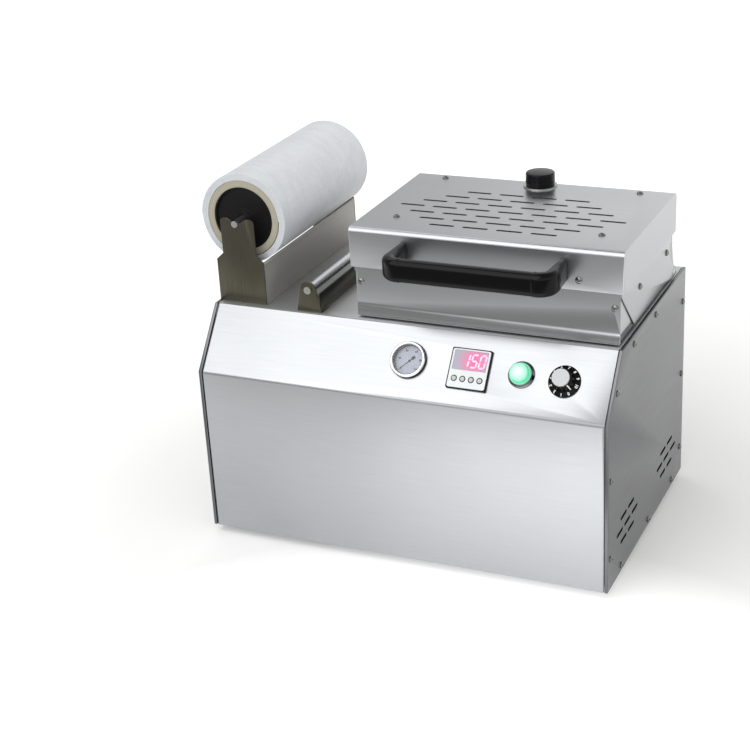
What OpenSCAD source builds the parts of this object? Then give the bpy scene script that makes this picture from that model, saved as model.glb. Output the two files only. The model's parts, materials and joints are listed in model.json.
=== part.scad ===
// Table-top vacuum skin packaging machine.
// Millimetres, +Z up, front towards -Y. The origin is on the floor, under the centre of the whole box.
// Inside the modules the cabinet is centred on X and Y, and in_frame() moves it to that origin.

/* [Cabinet] */
// Height of the deck above the base
deck_h = 272; // [262:1:300]
// Depth of the deck behind the hood
deck_back = 45; // [40:1:80]
// Rise of the sloped control face from its bend to the deck
slope_rise = 67; // [60:1:72]
// How far the sloped control face sets the deck back
panel_set = 53; // [45:1:60]
// Thickness of the cabinet sheet
sheet_t = 1.5; // [1:0.1:2]
// Width of the return bent round the edge of a side panel
edge_w = 4; // [3:0.5:6]
// Open seam between two sheets
seam = 0.6; // [0.3:0.1:1]
// Width of the inner flanges that take the side screws
flange_w = 20; // [16:1:24]
// Height of the upturned lip round the base pan
pan_lip = 15; // [12:1:20]

/* [Feet] */
// Height of a rubber foot
foot_h = 10; // [8:1:16]
// Diameter of a foot where it meets the base
foot_d = 30; // [24:1:36]
// Distance of a foot's centre from the cabinet's edges
foot_in = 45; // [35:1:60]

/* [Vents] */
// Length of a vent slot
vent_l = 24; // [18:1:26]
// Width of a vent slot
vent_w = 4.4; // [2.5:0.1:5]
// Pitch of the slots along a row
vent_pitch = 30; // [28:1:34]
// Pitch of the rows
vent_row = 15; // [10:1:18]
// Height of the middle row above the base
vent_h = 53; // [50:1:80]
// Distance from the cabinet's middle to the middle of a vent group
vent_y = 84; // [75:1:86]

/* [Control panel] */
// Diameter over the gauge's bezel
gauge_d = 43; // [40:0.5:46]
// Side of the square temperature controller
ctrl_w = 47; // [44:0.5:48]
// Diameter of the push button's bezel
btn_d = 31; // [28:0.5:34]
// Travel of the push button
btn_travel = 3; // [2:0.5:4]
// Diameter of the dial knob's skirt
dial_d = 36.5; // [32:0.5:40]
// Distance from the dial to the right side of the cabinet
dial_in = 57; // [50:1:70]
// Distance from the dial to the push button
btn_gap = 49.5; // [44:0.5:54]
// Distance from the push button to the controller
ctrl_gap = 60.5; // [54:0.5:64]
// Distance from the controller to the gauge
gauge_gap = 73.5; // [60:0.5:90]

/* [Hood] */
// Width of the slotted cover
hood_w = 320; // [300:1:330]
// Depth of the slotted cover
hood_d = 215; // [205:1:220]
// Height of the slotted cover
cover_h = 47.5; // [44:0.5:60]
// Height of the cover's lower edge above the deck
cover_lift = 61; // [56:0.5:72]
// Thickness of the hood's cover sheet
cover_t = 1.5; // [1:0.1:2]
// Wall of the chamber frame under the cover
frame_t = 2; // [1.5:0.1:2.5]
// How far the frame's sides stand in from the cover's
frame_in = 4.7; // [4:0.1:7]
// How far the frame's front and rear stand in from the cover's
frame_in_y = 3.5; // [3:0.1:5]
// Gap between the hood's side and the cabinet's side face
hood_side = 1.4; // [1:0.1:3]
// Distance from the deck's front edge to the hood's front
hood_front = 7; // [5:0.5:12]
// Radius of the bend along the cover's top front edge
cover_bend = 6; // [3:0.5:9]
// How far the hood opens, in degrees
hood_open = 80; // [60:1:80]

/* [Cover slots] */
// Length of a slot in the cover
slot_l = 30; // [20:1:34]
// Width of a slot in the cover
slot_w = 4.4; // [2:0.1:5]
// Pitch of the slots along a row
slot_pitch = 40; // [36:0.5:42]
// Pitch of the rows of slots
slot_row = 20; // [16:0.5:22]
// Slots in the longest row
slot_count = 7; // [5:1:7]

/* [Handle] */
// Length over the handle's two ends
handle_w = 203; // [160:1:220]
// Height of the grip's section
grip_h = 27; // [20:0.5:28]
// Depth of the grip's section
grip_d = 16.5; // [15:0.5:20]
// Distance from the cover to the grip's outer face
handle_out = 58; // [45:0.5:60]
// Width of one end of the handle, over its round corner
handle_end = 26; // [24:0.5:34]

/* [Film roll] */
// Diameter of the wound film
film_d = 110; // [95:1:116]
// Outer diameter of the cardboard core
core_d = 92; // [84:1:93]
// Bore of the cardboard core
core_bore = 76; // [70:1:78]
// Diameter of the roll's shaft
shaft_d = 8; // [6:0.5:10]
// Width of a roll bracket at its foot
bracket_w = 62; // [54:1:66]
// Width of a roll bracket's neck
neck_w = 44; // [36:1:46]
// Height of a roll bracket's shoulder
shoulder_h = 52; // [40:1:60]
// Thickness of the bracket sheet
bracket_t = 2; // [1.5:0.1:3]

/* [Guide roller] */
// Diameter of the guide roller's tube
guide_d = 12.5; // [10:0.5:16]
// Height of the guide roller's axle above the deck
guide_h = 27; // [22:1:34]
// Width of a guide bracket at its foot
guide_w = 32; // [28:1:36]
// Distance from the guide roller to the hood
guide_gap = 56; // [50:1:60]
// Distance from the guide roller to the wall beside the film roll
film_bay = 58.6; // [50:0.2:90]

/* [Chamber] */
// Depth of the lower chamber below the deck
chamber_h = 42; // [30:1:44]
// Width of the flange round the chamber
rim_w = 14; // [12:0.5:18]

/* [Hidden] */

// Smoothness of round parts
$fn = 48;
// How far a cutting shape runs past the face it cuts
over = 1;
// Side clearance between parts that are fitted together
fit = 0.2;
// Radial clearance of a shaft that turns in its bore
run = 0.05;
// Gap between two parts that move past each other
gap = 0.3;

// Cabinet screws: thread, clearance hole, head
screw_d = 4;
screw_hole = 4.3;
head_d = 7.6;
head_h = 2.2;
head_top_share = 0.8;
screw_l = 8;
cross_l = 4.2;
cross_w = 0.9;
cross_deep = 1;

// The cabinet holds, from its left side, the roll's bracket, the guide roller and the hood
bracket_edge = 2;
cab_w = bracket_edge + bracket_w + film_bay + guide_gap + hood_w + hood_side;
cab_d = panel_set + hood_front + hood_d + deck_back;
break_h = deck_h - slope_rise;

// Cabinet places, in the cabinet's own frame
cab_l = -cab_w / 2;
cab_r = cab_w / 2;
cab_f = -cab_d / 2;
cab_b = cab_d / 2;
base_z = foot_h;
brk_z = base_z + break_h;
deck_z = base_z + deck_h;
deck_f = cab_f + panel_set;
slope = atan2(slope_rise, panel_set);
slope_len = norm([slope_rise, panel_set]);
sheet_half = cab_w / 2 - edge_w - seam;

// Side screws stand this far in from the cabinet's edges, and this far above its base
side_screw_in = 10;
base_screw_h = pan_lip / 2;
// Their places up the front edge and the slope, along the deck, up the rear edge and along the base
front_screw_shares = [0.19, 0.66];
slope_screw_share = 0.38;
deck_screw_shares = [-0.39, 0.17];
rear_screw_shares = [0.13, 0.5, 0.85];
base_screw_shares = [-0.67, 0.03, 0.7];
slope_screw_z = brk_z + slope_screw_share * slope_rise;

// Foot details
foot_taper = 3;
foot_recess_d = 14;
foot_recess_h = 6;
foot_screw_d = 5;
foot_head_d = 10;
foot_head_h = 4;
nut_d = 9.2;
nut_h = 4;

// Hood places
hood_r = cab_r - hood_side;
hood_l = hood_r - hood_w;
hood_cx = (hood_l + hood_r) / 2;
hood_f = deck_f + hood_front;
hood_b = hood_f + hood_d;
hood_cy = (hood_f + hood_b) / 2;
cover_z = deck_z + cover_lift;
cover_top = cover_z + cover_h;
frame_l = hood_l + frame_in;
frame_r = hood_r - frame_in;
frame_f = hood_f + frame_in_y;
frame_b = hood_b - frame_in_y;
frame_w = frame_r - frame_l;
frame_d = frame_b - frame_f;
frame_up = 10;
frame_top = cover_z + frame_up;
frame_front_gap = 2;
frame_side_gap = 6;
ledge_w = 12;
lip_h = 13;
lip_out = 1.6;

// Hinge: the rod lies behind the frame, close to the deck
rod_d = 8;
rod_back = 9.5;
rod_up = 8;
rod_y = frame_b + rod_back;
rod_z = deck_z + rod_up;
lug_r = 7.4;
lug_t = 5;
lug_foot = 20;
lug_foot_t = 2.5;
lug_screw_back = 14;
arm_t = 1.5;
arm_r = 7.2;
arm_cut = 50;
arm_screw_shares = [0.34, 0.88];
// The arm's heel comes down on the deck when the hood is open
heel_y = (rod_up - gap / 2) / sin(hood_open);
heel_z = 1.8;

// Chamber
pan_t = 1.5;
rim_gap = 1.5;
rim_l = frame_l + frame_t + rim_gap;
rim_r = frame_r - frame_t - rim_gap;
rim_f = frame_f + frame_t + rim_gap;
rim_b = frame_b - frame_t - rim_gap;
mouth_w = rim_r - rim_l - 2 * rim_w;
mouth_d = rim_b - rim_f - 2 * rim_w;
rim_cx = (rim_l + rim_r) / 2;
rim_cy = (rim_f + rim_b) / 2;
mouth_r = 16;
seal_w = 9;
seal_t = 2;
seal_top = deck_z + pan_t + seal_t;
pan_bottom = deck_z - chamber_h;
port_d = 14;
port_l = 16;
port_wall = 1.5;

// Tray plate on four stand-offs
tray_t = 2;
tray_gap = 6;
tray_up = 8;
tray_leg_d = 10;
tray_leg_in = 22;
tray_hole = 6;
tray_pitch = 30;
tray_z = pan_bottom + pan_t + tray_up;

// Hood seal hangs under the frame's ledge
hood_seal_b = seal_top + gap;
ledge_z = deck_z + frame_side_gap;

// Heater plate, element and insulation hang from the frame's roof on four posts
heater_in = 16;
heater_t = 8;
heater_up = 9;
heater_z = ledge_z + frame_t + heater_up - heater_t;
element_d = 6.5;
element_pitch = 36;
element_runs = 5;
element_in = 30;
board_t = 14;
board_lift = 2;
board_z = heater_z + heater_t + element_d + board_lift;
post_d = 8;
post_in = 14;
roof_z = frame_top - frame_t;

// Cover details
top_screw_in_x = 39;
top_screw_in_y = 32.5;
top_screw_back = 16;
slot_forward = 14;
face_screw_x_share = 0.145;
face_screw_share = 0.25;
frame_screw_in = 6;
frame_screw_down = 17.5;
frame_head_d = 8.8;

// Vent valve and its knob at the rear of the cover
knob_d = 35;
knob_h = 18;
knob_back = 17;
knob_gap = 0.5;
knob_edge = 2;
valve_d = 22;
valve_stem = 6;
valve_flange_d = 40;
valve_flange_h = 1.5;
knob_y = hood_b - knob_back;

// Handle
grip_up = 22;
grip_r = 7;
corner_r = 22;
pad_w = 8;
pad_t = 3;
arm_splay = 4;
handle_screw_shares = [-0.25, 0.25];
grip_z = cover_z + grip_up;
grip_y = hood_f - handle_out + grip_d / 2;
corner_y = hood_f - handle_out + corner_r;

// Film roll: its shaft stands just high enough for a full roll to clear the wall's rolled edge
bracket_in = 11;
wall_hem = 4;
roll_gap = 0.5;
roll_clear = film_d / 2 + wall_hem / 2 + roll_gap;
roll_h = shoulder_h - wall_hem / 2 + sqrt(pow(roll_clear, 2) - pow((bracket_w - bracket_t) / 2, 2));
roll_x = cab_l + bracket_edge + bracket_w / 2;
roll_z = deck_z + roll_h;
bracket_y = deck_f + bracket_in;
bracket_back = 1;
rear_bracket_y = cab_b - bracket_back - bracket_t;
film_gap = 14;
film_gap_back = 3;
film_f = bracket_y + bracket_t + film_gap;
film_b = rear_bracket_y - film_gap_back;
film_w = film_b - film_f;
plug_l = 22;
shaft_over = 6;
notch_d = shaft_d + 2 * run;
neck_over = 5;
neck_top = roll_z + neck_over;
shoulder_slope = 8;
neck_start = shoulder_h + shoulder_slope;
notch_flare = 14;
foot_w = 16;
tip_r = 5;

// Guide roller
guide_x = hood_l - guide_gap;
guide_z = deck_z + guide_h;
guide_in = 6;
guide_f = deck_f + guide_in;
guide_screw_share = 0.6;
guide_back = 8;
guide_b = cab_b - guide_back;
guide_top_r = 10;
guide_axle_d = 6;
guide_wall = 1.2;
guide_foot = 18;
guide_lip_out = 12;
guide_lip_h = 23;
guide_screw_x = guide_w / 5;
guide_head_d = 9;
guide_head_h = 2.5;

// Control panel parts, placed by their distance up the slope, a little above its middle
panel_mid = slope_len / 2;
gauge_rise = 2.9;
ctrl_rise = 0.9;
btn_rise = 2.5;
dial_rise = 1;
gauge_s = panel_mid + gauge_rise;
ctrl_s = panel_mid + ctrl_rise;
btn_s = panel_mid + btn_rise;
dial_s = panel_mid + dial_rise;
dial_x = cab_r - dial_in;
btn_x = dial_x - btn_gap;
ctrl_x = btn_x - ctrl_gap;
gauge_x = ctrl_x - gauge_gap;
bezel_over = 2.25;
case_r = gauge_d / 2 - bezel_over;
case_deep = 26;
case_wall = 1.5;
bezel_h = 6;
bezel_lip = 2;
bezel_in = 2.4;
dial_plate_t = 0.8;
dial_plate_deep = 3.5;
lens_t = 1.2;
lens_gap = 0.1;
needle_w = 1.3;
needle_t = 0.6;
needle_tip_share = 0.8;
needle_tail_share = 0.38;
needle_hub = 2.6;
needle_pin = 0.6;
needle_rest = 225;
stub_d = 10;
stub_l = 12;
ctrl_case = 3;
ctrl_deep = 60;
ctrl_lip = 2.5;
ctrl_corner = 2;
window_w_share = 0.84;
window_h_share = 0.47;
window_up_share = 0.2;
window_t = 1;
key_d = 5;
key_pitch = 10.1;
key_down = 12;
key_out = 1.2;
key_travel = 0.6;
key_deep = 3.2;
btn_h = 8;
btn_cone = 3;
btn_cap_d = 20.4;
btn_dome = 4;
btn_out = 3.5;
btn_skirt = 7;
barrel_d = 22;
barrel_l = 34;
ring_nut_d = 29;
ring_nut_h = 4;
skirt_t = 3;
dial_body_d = 25;
dial_body_h = 13.5;
dial_top_d = 22;
dial_cap_d = 19.6;
dial_cap_t = 1.2;
dial_gap = 0.8;
dial_axle = 6;
pot_d = 24;
pot_h = 12;
bush_d = 9.5;
bush_l = 5;
dial_pocket = 10;

// Pump under the chamber
pump_x = hood_cx;
pump_y = 18;
mount_d = 20;
mount_h = 14;
plate_w = 170;
plate_d = 92;
plate_t = 3;
mount_in = 12;
motor_d = 92;
motor_l = 108;
motor_lift = 4;
head_w = 30;
head_round = 70;
barrel_w = 50;
fin_t = 2;
fin_over = 4;
pump_axle = 10;
fan_r = 30;
fan_hub = 10;
fan_t = 8;
fan_blade_t = 2;
fan_blades = 6;
fan_lean = 35;
fan_gap = 2;
pump_plate_z = base_z + sheet_t + mount_h;
pump_axis_z = pump_plate_z + plate_t + motor_lift + motor_d / 2;
pump_side = motor_l / 2;

// Hose from the pump's port up to the chamber's port
hose_d = 12;
hose_bend = 16;
hose_rise = 40;
chamber_port_b = pan_bottom - port_l;
pump_port_x = pump_x - pump_side - head_w / 2;
pump_port_z = chamber_port_b - hose_rise;
chamber_port_x = pump_port_x + 2 * hose_bend + head_w;

// The pump's barrels fill the height between its heads and the hose, with fins up to half of it
fin_pitch = 6;
barrel_h = pump_port_z - pump_axis_z - head_round / 2;
fin_count = floor(barrel_h / fin_pitch / 2);

// Power unit, relay and valve beside the pump
unit_w = 110;
unit_d = 82;
unit_h = 40;
unit_gap = 24;
unit_hole = 5;
unit_hole_pitch = 10;
unit_y = 30;
relay_w = 45;
relay_d = 58;
relay_h = 23;
sink_h = 30;
relay_gap = 14;

// Power inlet in the rear panel
inlet_w = 28;
inlet_h = 20;
inlet_deep = 18;
inlet_flange_w = 48;
inlet_flange_h = 28;
inlet_flange_t = 2;
inlet_wall = 2;
inlet_in = 100;
inlet_up = 60;
pin_w = 2;
pin_h = 6;
pin_pitch = 7;

// The whole box, and its middle
reach_l = roll_x - film_d / 2;
reach_r = cab_r + head_h;
reach_b = cab_b + inlet_flange_t;
mid_x = (reach_l + reach_r) / 2;
mid_y = (cab_f + reach_b) / 2;

// The cabinet's side outline in Y and Z, drawn in by a distance
function outline(i) = [
    [cab_f + i, base_z + i],
    [cab_f + i, brk_z - i * tan((90 - slope) / 2)],
    [deck_f + i * tan(slope / 2), deck_z - i],
    [cab_b - i, deck_z - i],
    [cab_b - i, base_z + i]];

// Y of the sloped face, drawn in by a distance, at a height
function slope_y(i, z) = deck_f + i / sin(slope) - (deck_z - z) / tan(slope);

// Places of the screws on one side panel, as Y and Z
function side_screws() = concat(
    [for (s = front_screw_shares) [cab_f + side_screw_in, base_z + s * break_h]],
    [[slope_y(side_screw_in, slope_screw_z), slope_screw_z]],
    [for (s = deck_screw_shares) [s * cab_b, deck_z - side_screw_in]],
    [for (s = rear_screw_shares) [cab_b - side_screw_in, base_z + s * deck_h]],
    [for (s = base_screw_shares) [s * cab_b, base_z + base_screw_h]]);

// Moves the cabinet's frame to the origin under the whole box
module in_frame() translate([-mid_x, -mid_y, 0]) children();

// Extrudes a Y-Z outline along X
module along_x(x, l) translate([x, 0, 0]) rotate([90, 0, 90]) linear_extrude(l) children();

// Extrudes an X-Z outline along Y, from its front face
module along_y(y, l) translate([0, y + l, 0]) rotate([90, 0, 0]) linear_extrude(l) children();

// Local frame on the control face: X to the right, Y up the slope, Z outwards
module on_panel(x, s) translate([x, cab_f + s * cos(slope), brk_z + s * sin(slope)])
    rotate([slope, 0, 0]) children();

// A block from its low corner to its high corner
module span(a, b) translate(a) cube(b - a);

// Rectangle with round corners, centred
module round_rect(w, d, r) {
    square([w - 2 * r, d], center = true);
    square([w, d - 2 * r], center = true);
    for (x = [-1, 1], y = [-1, 1]) translate([x * (w / 2 - r), y * (d / 2 - r)]) circle(r);
}

// Rectangle standing on its base with two round top corners
module dome_rect(d, h, r) {
    square([d, h - r]);
    translate([r, 0]) square([d - 2 * r, h]);
    for (x = [r, d - r]) translate([x, h - r]) circle(r);
}

// Slot with round ends, lying along X
module slot2(l, w) {
    square([l - w, w], center = true);
    for (x = [-1, 1]) translate([x * (l - w) / 2, 0]) circle(w / 2);
}

// Ring between two diameters
module ring(outer, bore, h) difference() {
    cylinder(d = outer, h = h);
    translate([0, 0, -over]) cylinder(d = bore, h = h + 2 * over);
}

// Pan-head screw: its head stands on the plane z = 0, its shank runs down
module screw(d = screw_d, l = screw_l, hd = head_d, hh = head_h) difference() {
    union() {
        cylinder(d1 = hd, d2 = hd * head_top_share, h = hh);
        translate([0, 0, -l]) cylinder(d = d, h = l);
    }
    for (a = [0, 90]) rotate([0, 0, a + 45])
        translate([-cross_l / 2, -cross_w / 2, hh - cross_deep])
            cube([cross_l, cross_w, cross_deep + over]);
}

// A group of vent slots in a Y-Z plane: rows of two, three and two
module vent_group() for (r = [-1, 0, 1]) {
    n = r == 0 ? 3 : 2;
    for (k = [0:n - 1])
        translate([(k - (n - 1) / 2) * vent_pitch, r * vent_row]) slot2(vent_l, vent_w);
}

// Cabinet

module base_pan() color("silver") in_frame() {
    half = sheet_half - sheet_t - fit;
    front = cab_f + sheet_t + fit;
    back = cab_b - sheet_t - fit;
    difference() {
        span([-half, front, base_z], [half, back, base_z + pan_lip]);
        span([-half + sheet_t, front + sheet_t, base_z + sheet_t],
             [half - sheet_t, back - sheet_t, base_z + pan_lip + over]);
        at_feet() translate([0, 0, base_z - over])
            cylinder(d = foot_screw_d + 2 * fit, h = sheet_t + 2 * over);
        for (s = [-1, 1], p = side_screws())
            translate([s * half, p[0], p[1]]) rotate([0, s * 90, 0])
                cylinder(d = screw_hole, h = 3 * sheet_t, center = true);
    }
}

module front_panel() color("gainsboro") in_frame() {
    under = deck_z - sheet_t - fit;
    low = base_z + pan_lip + fit;
    difference() {
        union() {
            along_x(-sheet_half, 2 * sheet_half) polygon([
                [cab_f, base_z], outline(0)[1], outline(0)[2],
                [slope_y(sheet_t, deck_z), deck_z],
                [slope_y(sheet_t, under), under],
                [deck_f + flange_w, under],
                [deck_f + flange_w, under - sheet_t],
                [slope_y(sheet_t, under - sheet_t), under - sheet_t],
                outline(sheet_t)[1], [cab_f + sheet_t, base_z]]);
            for (x = [-sheet_half, sheet_half - sheet_t]) along_x(x, sheet_t) polygon([
                [cab_f + sheet_t / 2, low], outline(sheet_t / 2)[1],
                [slope_y(sheet_t / 2, under - flange_w), under - flange_w],
                [slope_y(flange_w, under - flange_w), under - flange_w],
                outline(flange_w)[1], [cab_f + flange_w, low]]);
        }
        on_panel(gauge_x, gauge_s) through(2 * case_r + 2 * fit);
        on_panel(btn_x, btn_s) through(barrel_d + 2 * fit);
        on_panel(dial_x, dial_s) through(bush_d + 2 * fit);
        on_panel(ctrl_x, ctrl_s) translate([0, 0, -3 * sheet_t])
            linear_extrude(5 * sheet_t) square(ctrl_w - ctrl_case + 2 * fit, center = true);
        at_bracket_screws() translate([0, 0, deck_z - 4 * sheet_t])
            cylinder(d = screw_hole, h = 5 * sheet_t);
        screw_bores();
    }
}

// A round hole through the sheet of the control face
module through(d) cylinder(d = d, h = 6 * sheet_t, center = true);

// Bores for the side screws through both side panels and the flanges behind them
module screw_bores() for (s = [-1, 1], p = side_screws())
    translate([s * sheet_half, p[0], p[1]]) rotate([0, 90, 0])
        cylinder(d = screw_hole, h = 4 * edge_w, center = true);

module side_panel() difference() {
    union() {
        along_x(cab_r - sheet_t, sheet_t) polygon(outline(0));
        along_x(cab_r - edge_w, edge_w - sheet_t) difference() {
            polygon(outline(0));
            polygon(outline(sheet_t));
        }
    }
    for (s = [-1, 1]) along_x(cab_r - edge_w - over, edge_w + 2 * over)
        translate([s * vent_y, base_z + vent_h]) vent_group();
    for (p = side_screws()) translate([cab_r - edge_w - over, p[0], p[1]]) rotate([0, 90, 0])
        cylinder(d = screw_hole, h = edge_w + 2 * over);
}

module side_panel_right() color("silver") in_frame() side_panel();

module side_panel_left() color("silver") in_frame() mirror([1, 0, 0]) side_panel();

module rear_panel() color("silver") in_frame() {
    top = deck_z - sheet_t - seam;
    low = base_z + pan_lip + fit;
    difference() {
        union() {
            span([-sheet_half, cab_b - sheet_t, base_z], [sheet_half, cab_b, top]);
            for (x = [-sheet_half, sheet_half - sheet_t])
                span([x, cab_b - flange_w, low], [x + sheet_t, cab_b, top - flange_w]);
        }
        for (x = [-1, 1]) translate([x * sheet_half / 2, 0, base_z + deck_h / 2])
            along_y(cab_b - 2 * sheet_t, 4 * sheet_t) vent_group();
        at_inlet() translate([0, 0, -2 * inlet_flange_t]) linear_extrude(4 * inlet_flange_t)
            square([inlet_w + 2 * fit, inlet_h + 2 * fit], center = true);
        screw_bores();
    }
}

module deck_plate() color("gainsboro") in_frame() {
    front = slope_y(sheet_t, deck_z) + seam;
    difference() {
        union() {
            span([-sheet_half, front, deck_z - sheet_t], [sheet_half, cab_b, deck_z]);
            for (x = [-sheet_half, sheet_half - sheet_t])
                span([x, deck_f + flange_w, deck_z - flange_w],
                     [x + sheet_t, cab_b - flange_w - seam, deck_z]);
        }
        translate([rim_cx, rim_cy, deck_z - 2 * sheet_t]) linear_extrude(3 * sheet_t)
            round_rect(mouth_w + 2 * pan_t + 2 * fit, mouth_d + 2 * pan_t + 2 * fit,
                       mouth_r + pan_t + fit);
        at_bracket_screws() deck_hole();
        at_lug_screws() deck_hole();
        screw_bores();
    }
}

// A screw's hole through the deck
module deck_hole() translate([0, 0, deck_z - 2 * sheet_t]) cylinder(d = screw_hole, h = 3 * sheet_t);

module at_feet() for (x = [cab_l + foot_in, cab_r - foot_in], y = [cab_f + foot_in, cab_b - foot_in])
    translate([x, y, 0]) children();

module rubber_feet() color("dimgray") in_frame() at_feet() difference() {
    cylinder(d1 = foot_d - foot_taper, d2 = foot_d, h = foot_h);
    translate([0, 0, -over]) cylinder(d = foot_recess_d, h = foot_recess_h + over);
    cylinder(d = foot_screw_d + 2 * fit, h = foot_h + over);
}

module foot_screws() color("gray") in_frame() at_feet() {
    translate([0, 0, foot_recess_h]) mirror([0, 0, 1])
        screw(foot_screw_d, foot_h - foot_recess_h + sheet_t + nut_h, foot_head_d, foot_head_h);
    translate([0, 0, base_z + sheet_t]) difference() {
        cylinder(d = nut_d, h = nut_h, $fn = 6);
        translate([0, 0, -over]) cylinder(d = foot_screw_d, h = nut_h + 2 * over);
    }
}

module cabinet_screws() color("dimgray") in_frame() for (s = [-1, 1], p = side_screws())
    translate([s * cab_r, p[0], p[1]]) rotate([0, s * 90, 0]) screw();

// Places of the screws that hold the roll's and the guide's brackets, and the hinge lugs, on the deck
module at_bracket_screws() for (x = [-1, 1]) {
    translate([roll_x + x * bracket_w / 4, bracket_y + bracket_t + foot_w / 2, 0]) children();
    translate([roll_x + x * bracket_w / 4, rear_bracket_y - foot_w / 2, 0]) children();
    at_guide_screws() translate([x * guide_screw_x, 0, 0]) children();
}

module at_guide_screws() for (y = [guide_f + bracket_t + guide_foot * guide_screw_share,
                                  guide_b - bracket_t - guide_foot * guide_screw_share])
    translate([guide_x, y, 0]) children();

module at_lug_screws() for (s = [0, 1]) translate([lug_mid(s), rod_y + lug_screw_back, 0]) children();

module deck_screws() color("dimgray") in_frame() {
    at_bracket_screws() translate([0, 0, deck_z + bracket_t]) screw();
    at_lug_screws() translate([0, 0, deck_z + lug_foot_t]) screw();
}

// Chamber under the hood

module chamber_pan() color("lightgray") in_frame() {
    difference() {
        union() {
            translate([rim_cx, rim_cy, pan_bottom]) linear_extrude(chamber_h + pan_t)
                round_rect(mouth_w + 2 * pan_t, mouth_d + 2 * pan_t, mouth_r + pan_t);
            span([rim_l, rim_f, deck_z], [rim_r, rim_b, deck_z + pan_t]);
            translate([chamber_port_x, pump_y, chamber_port_b]) cylinder(d = port_d, h = port_l);
        }
        translate([rim_cx, rim_cy, pan_bottom + pan_t]) linear_extrude(chamber_h + pan_t)
            round_rect(mouth_w, mouth_d, mouth_r);
        translate([chamber_port_x, pump_y, chamber_port_b - over])
            cylinder(d = port_d - 2 * port_wall, h = port_l + pan_t + 2 * over);
    }
}

module chamber_seal() color("gray") in_frame() translate([rim_cx, rim_cy, deck_z + pan_t])
    linear_extrude(seal_t) seal_ring();

module seal_ring() difference() {
    round_rect(mouth_w + rim_w + seal_w, mouth_d + rim_w + seal_w, mouth_r + seal_w);
    round_rect(mouth_w + rim_w - seal_w, mouth_d + rim_w - seal_w, mouth_r);
}

module tray_plate() color("silver") in_frame() {
    w = mouth_w - 2 * tray_gap;
    d = mouth_d - 2 * tray_gap;
    nx = floor((w / 2 - tray_leg_in) / tray_pitch);
    ny = floor((d / 2 - tray_leg_in / 2) / tray_pitch);
    translate([rim_cx, rim_cy, tray_z]) difference() {
        union() {
            linear_extrude(tray_t) round_rect(w, d, mouth_r - tray_gap);
            for (x = [-1, 1], y = [-1, 1])
                translate([x * (w / 2 - tray_leg_in), y * (d / 2 - tray_leg_in), -tray_up])
                    cylinder(d = tray_leg_d, h = tray_up);
        }
        for (i = [-nx:nx], j = [-ny:ny]) translate([i * tray_pitch, j * tray_pitch, -over])
            cylinder(d = tray_hole, h = tray_t + 2 * over, $fn = 24);
    }
}

// Hinge

// Low X of hinge lug 0 on the left and 1 on the right, and its middle
function lug_x(s) = s == 0 ? frame_l + gap : frame_r - gap - lug_t;
function lug_mid(s) = s == 0 ? lug_x(0) + lug_foot / 2 : lug_x(1) + lug_t - lug_foot / 2;

module hinge_brackets() color("silver") in_frame() for (s = [0, 1]) difference() {
    union() {
        translate([lug_x(s), rod_y, rod_z]) rotate([0, 90, 0]) cylinder(r = lug_r, h = lug_t);
        span([lug_x(s), rod_y, deck_z], [lug_x(s) + lug_t, rod_y + lug_r, rod_z]);
        span([lug_mid(s) - lug_foot / 2, rod_y, deck_z],
             [lug_mid(s) + lug_foot / 2, rod_y + lug_foot, deck_z + lug_foot_t]);
    }
    translate([lug_x(s) - over, rod_y, rod_z]) rotate([0, 90, 0])
        cylinder(d = rod_d, h = lug_t + 2 * over);
    translate([lug_mid(s), rod_y + lug_screw_back, deck_z - over])
        cylinder(d = screw_hole, h = lug_foot_t + 2 * over);
}

module hinge_rod() color("lightgray") in_frame() translate([frame_l - arm_t - gap, rod_y, rod_z])
    rotate([0, 90, 0]) cylinder(d = rod_d, h = frame_w + 2 * arm_t + 2 * gap);

// Hood

module hood_cover() color("silver") in_frame() difference() {
    union() {
        difference() {
            translate([0, hood_f, cover_z]) along_x(hood_l, hood_w)
                dome_rect(hood_d, cover_h, cover_bend);
            translate([0, hood_f + cover_t, cover_z - over])
                along_x(hood_l + cover_t, hood_w - 2 * cover_t)
                    dome_rect(hood_d - 2 * cover_t, cover_h - cover_t + over, cover_bend - cover_t);
        }
        difference() {
            span([hood_l, hood_f, cover_z], [hood_r, hood_b, cover_z + cover_t]);
            span([frame_l - arm_t - fit, frame_f - fit, cover_z - over],
                 [frame_r + arm_t + fit, frame_b + fit, cover_z + cover_t + over]);
        }
    }
    at_cover_slots() translate([0, 0, cover_top - 2 * cover_t])
        linear_extrude(3 * cover_t) slot2(slot_l, slot_w);
    at_top_screws() translate([0, 0, cover_top - 2 * cover_t]) cylinder(d = screw_hole, h = 3 * cover_t);
    translate([hood_cx, knob_y, cover_top - 2 * cover_t])
        cylinder(d = valve_d + 2 * fit, h = 3 * cover_t);
    at_face_screws() rotate([90, 0, 0]) cylinder(d = screw_hole, h = 4 * cover_t, center = true);
    at_handle_screws() rotate([90, 0, 0]) cylinder(d = screw_hole, h = 4 * cover_t, center = true);
}

// Rows of slots that shorten by one towards the front and the rear
module at_cover_slots() {
    mid = (slot_count - 1) / 2;
    for (r = [-floor(mid):floor(mid)]) {
        n = slot_count - abs(r);
        for (k = [0:n - 1])
            translate([hood_cx + (k - (n - 1) / 2) * slot_pitch,
                       hood_cy - slot_forward + r * slot_row, 0])
                children();
    }
}

module at_top_screws() for (x = [-1, 1], y = [-1, 1])
    translate([hood_cx + x * (hood_w / 2 - top_screw_in_x),
               hood_cy + top_screw_back + y * (hood_d / 2 - top_screw_in_y), 0]) children();

// The screw beside the handle stands between the handle's end and the cover's corner
module at_face_screws()
    translate([hood_cx + handle_w / 2 + face_screw_x_share * (hood_w - handle_w) / 2, hood_f,
               cover_z + face_screw_share * cover_h]) children();

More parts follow.
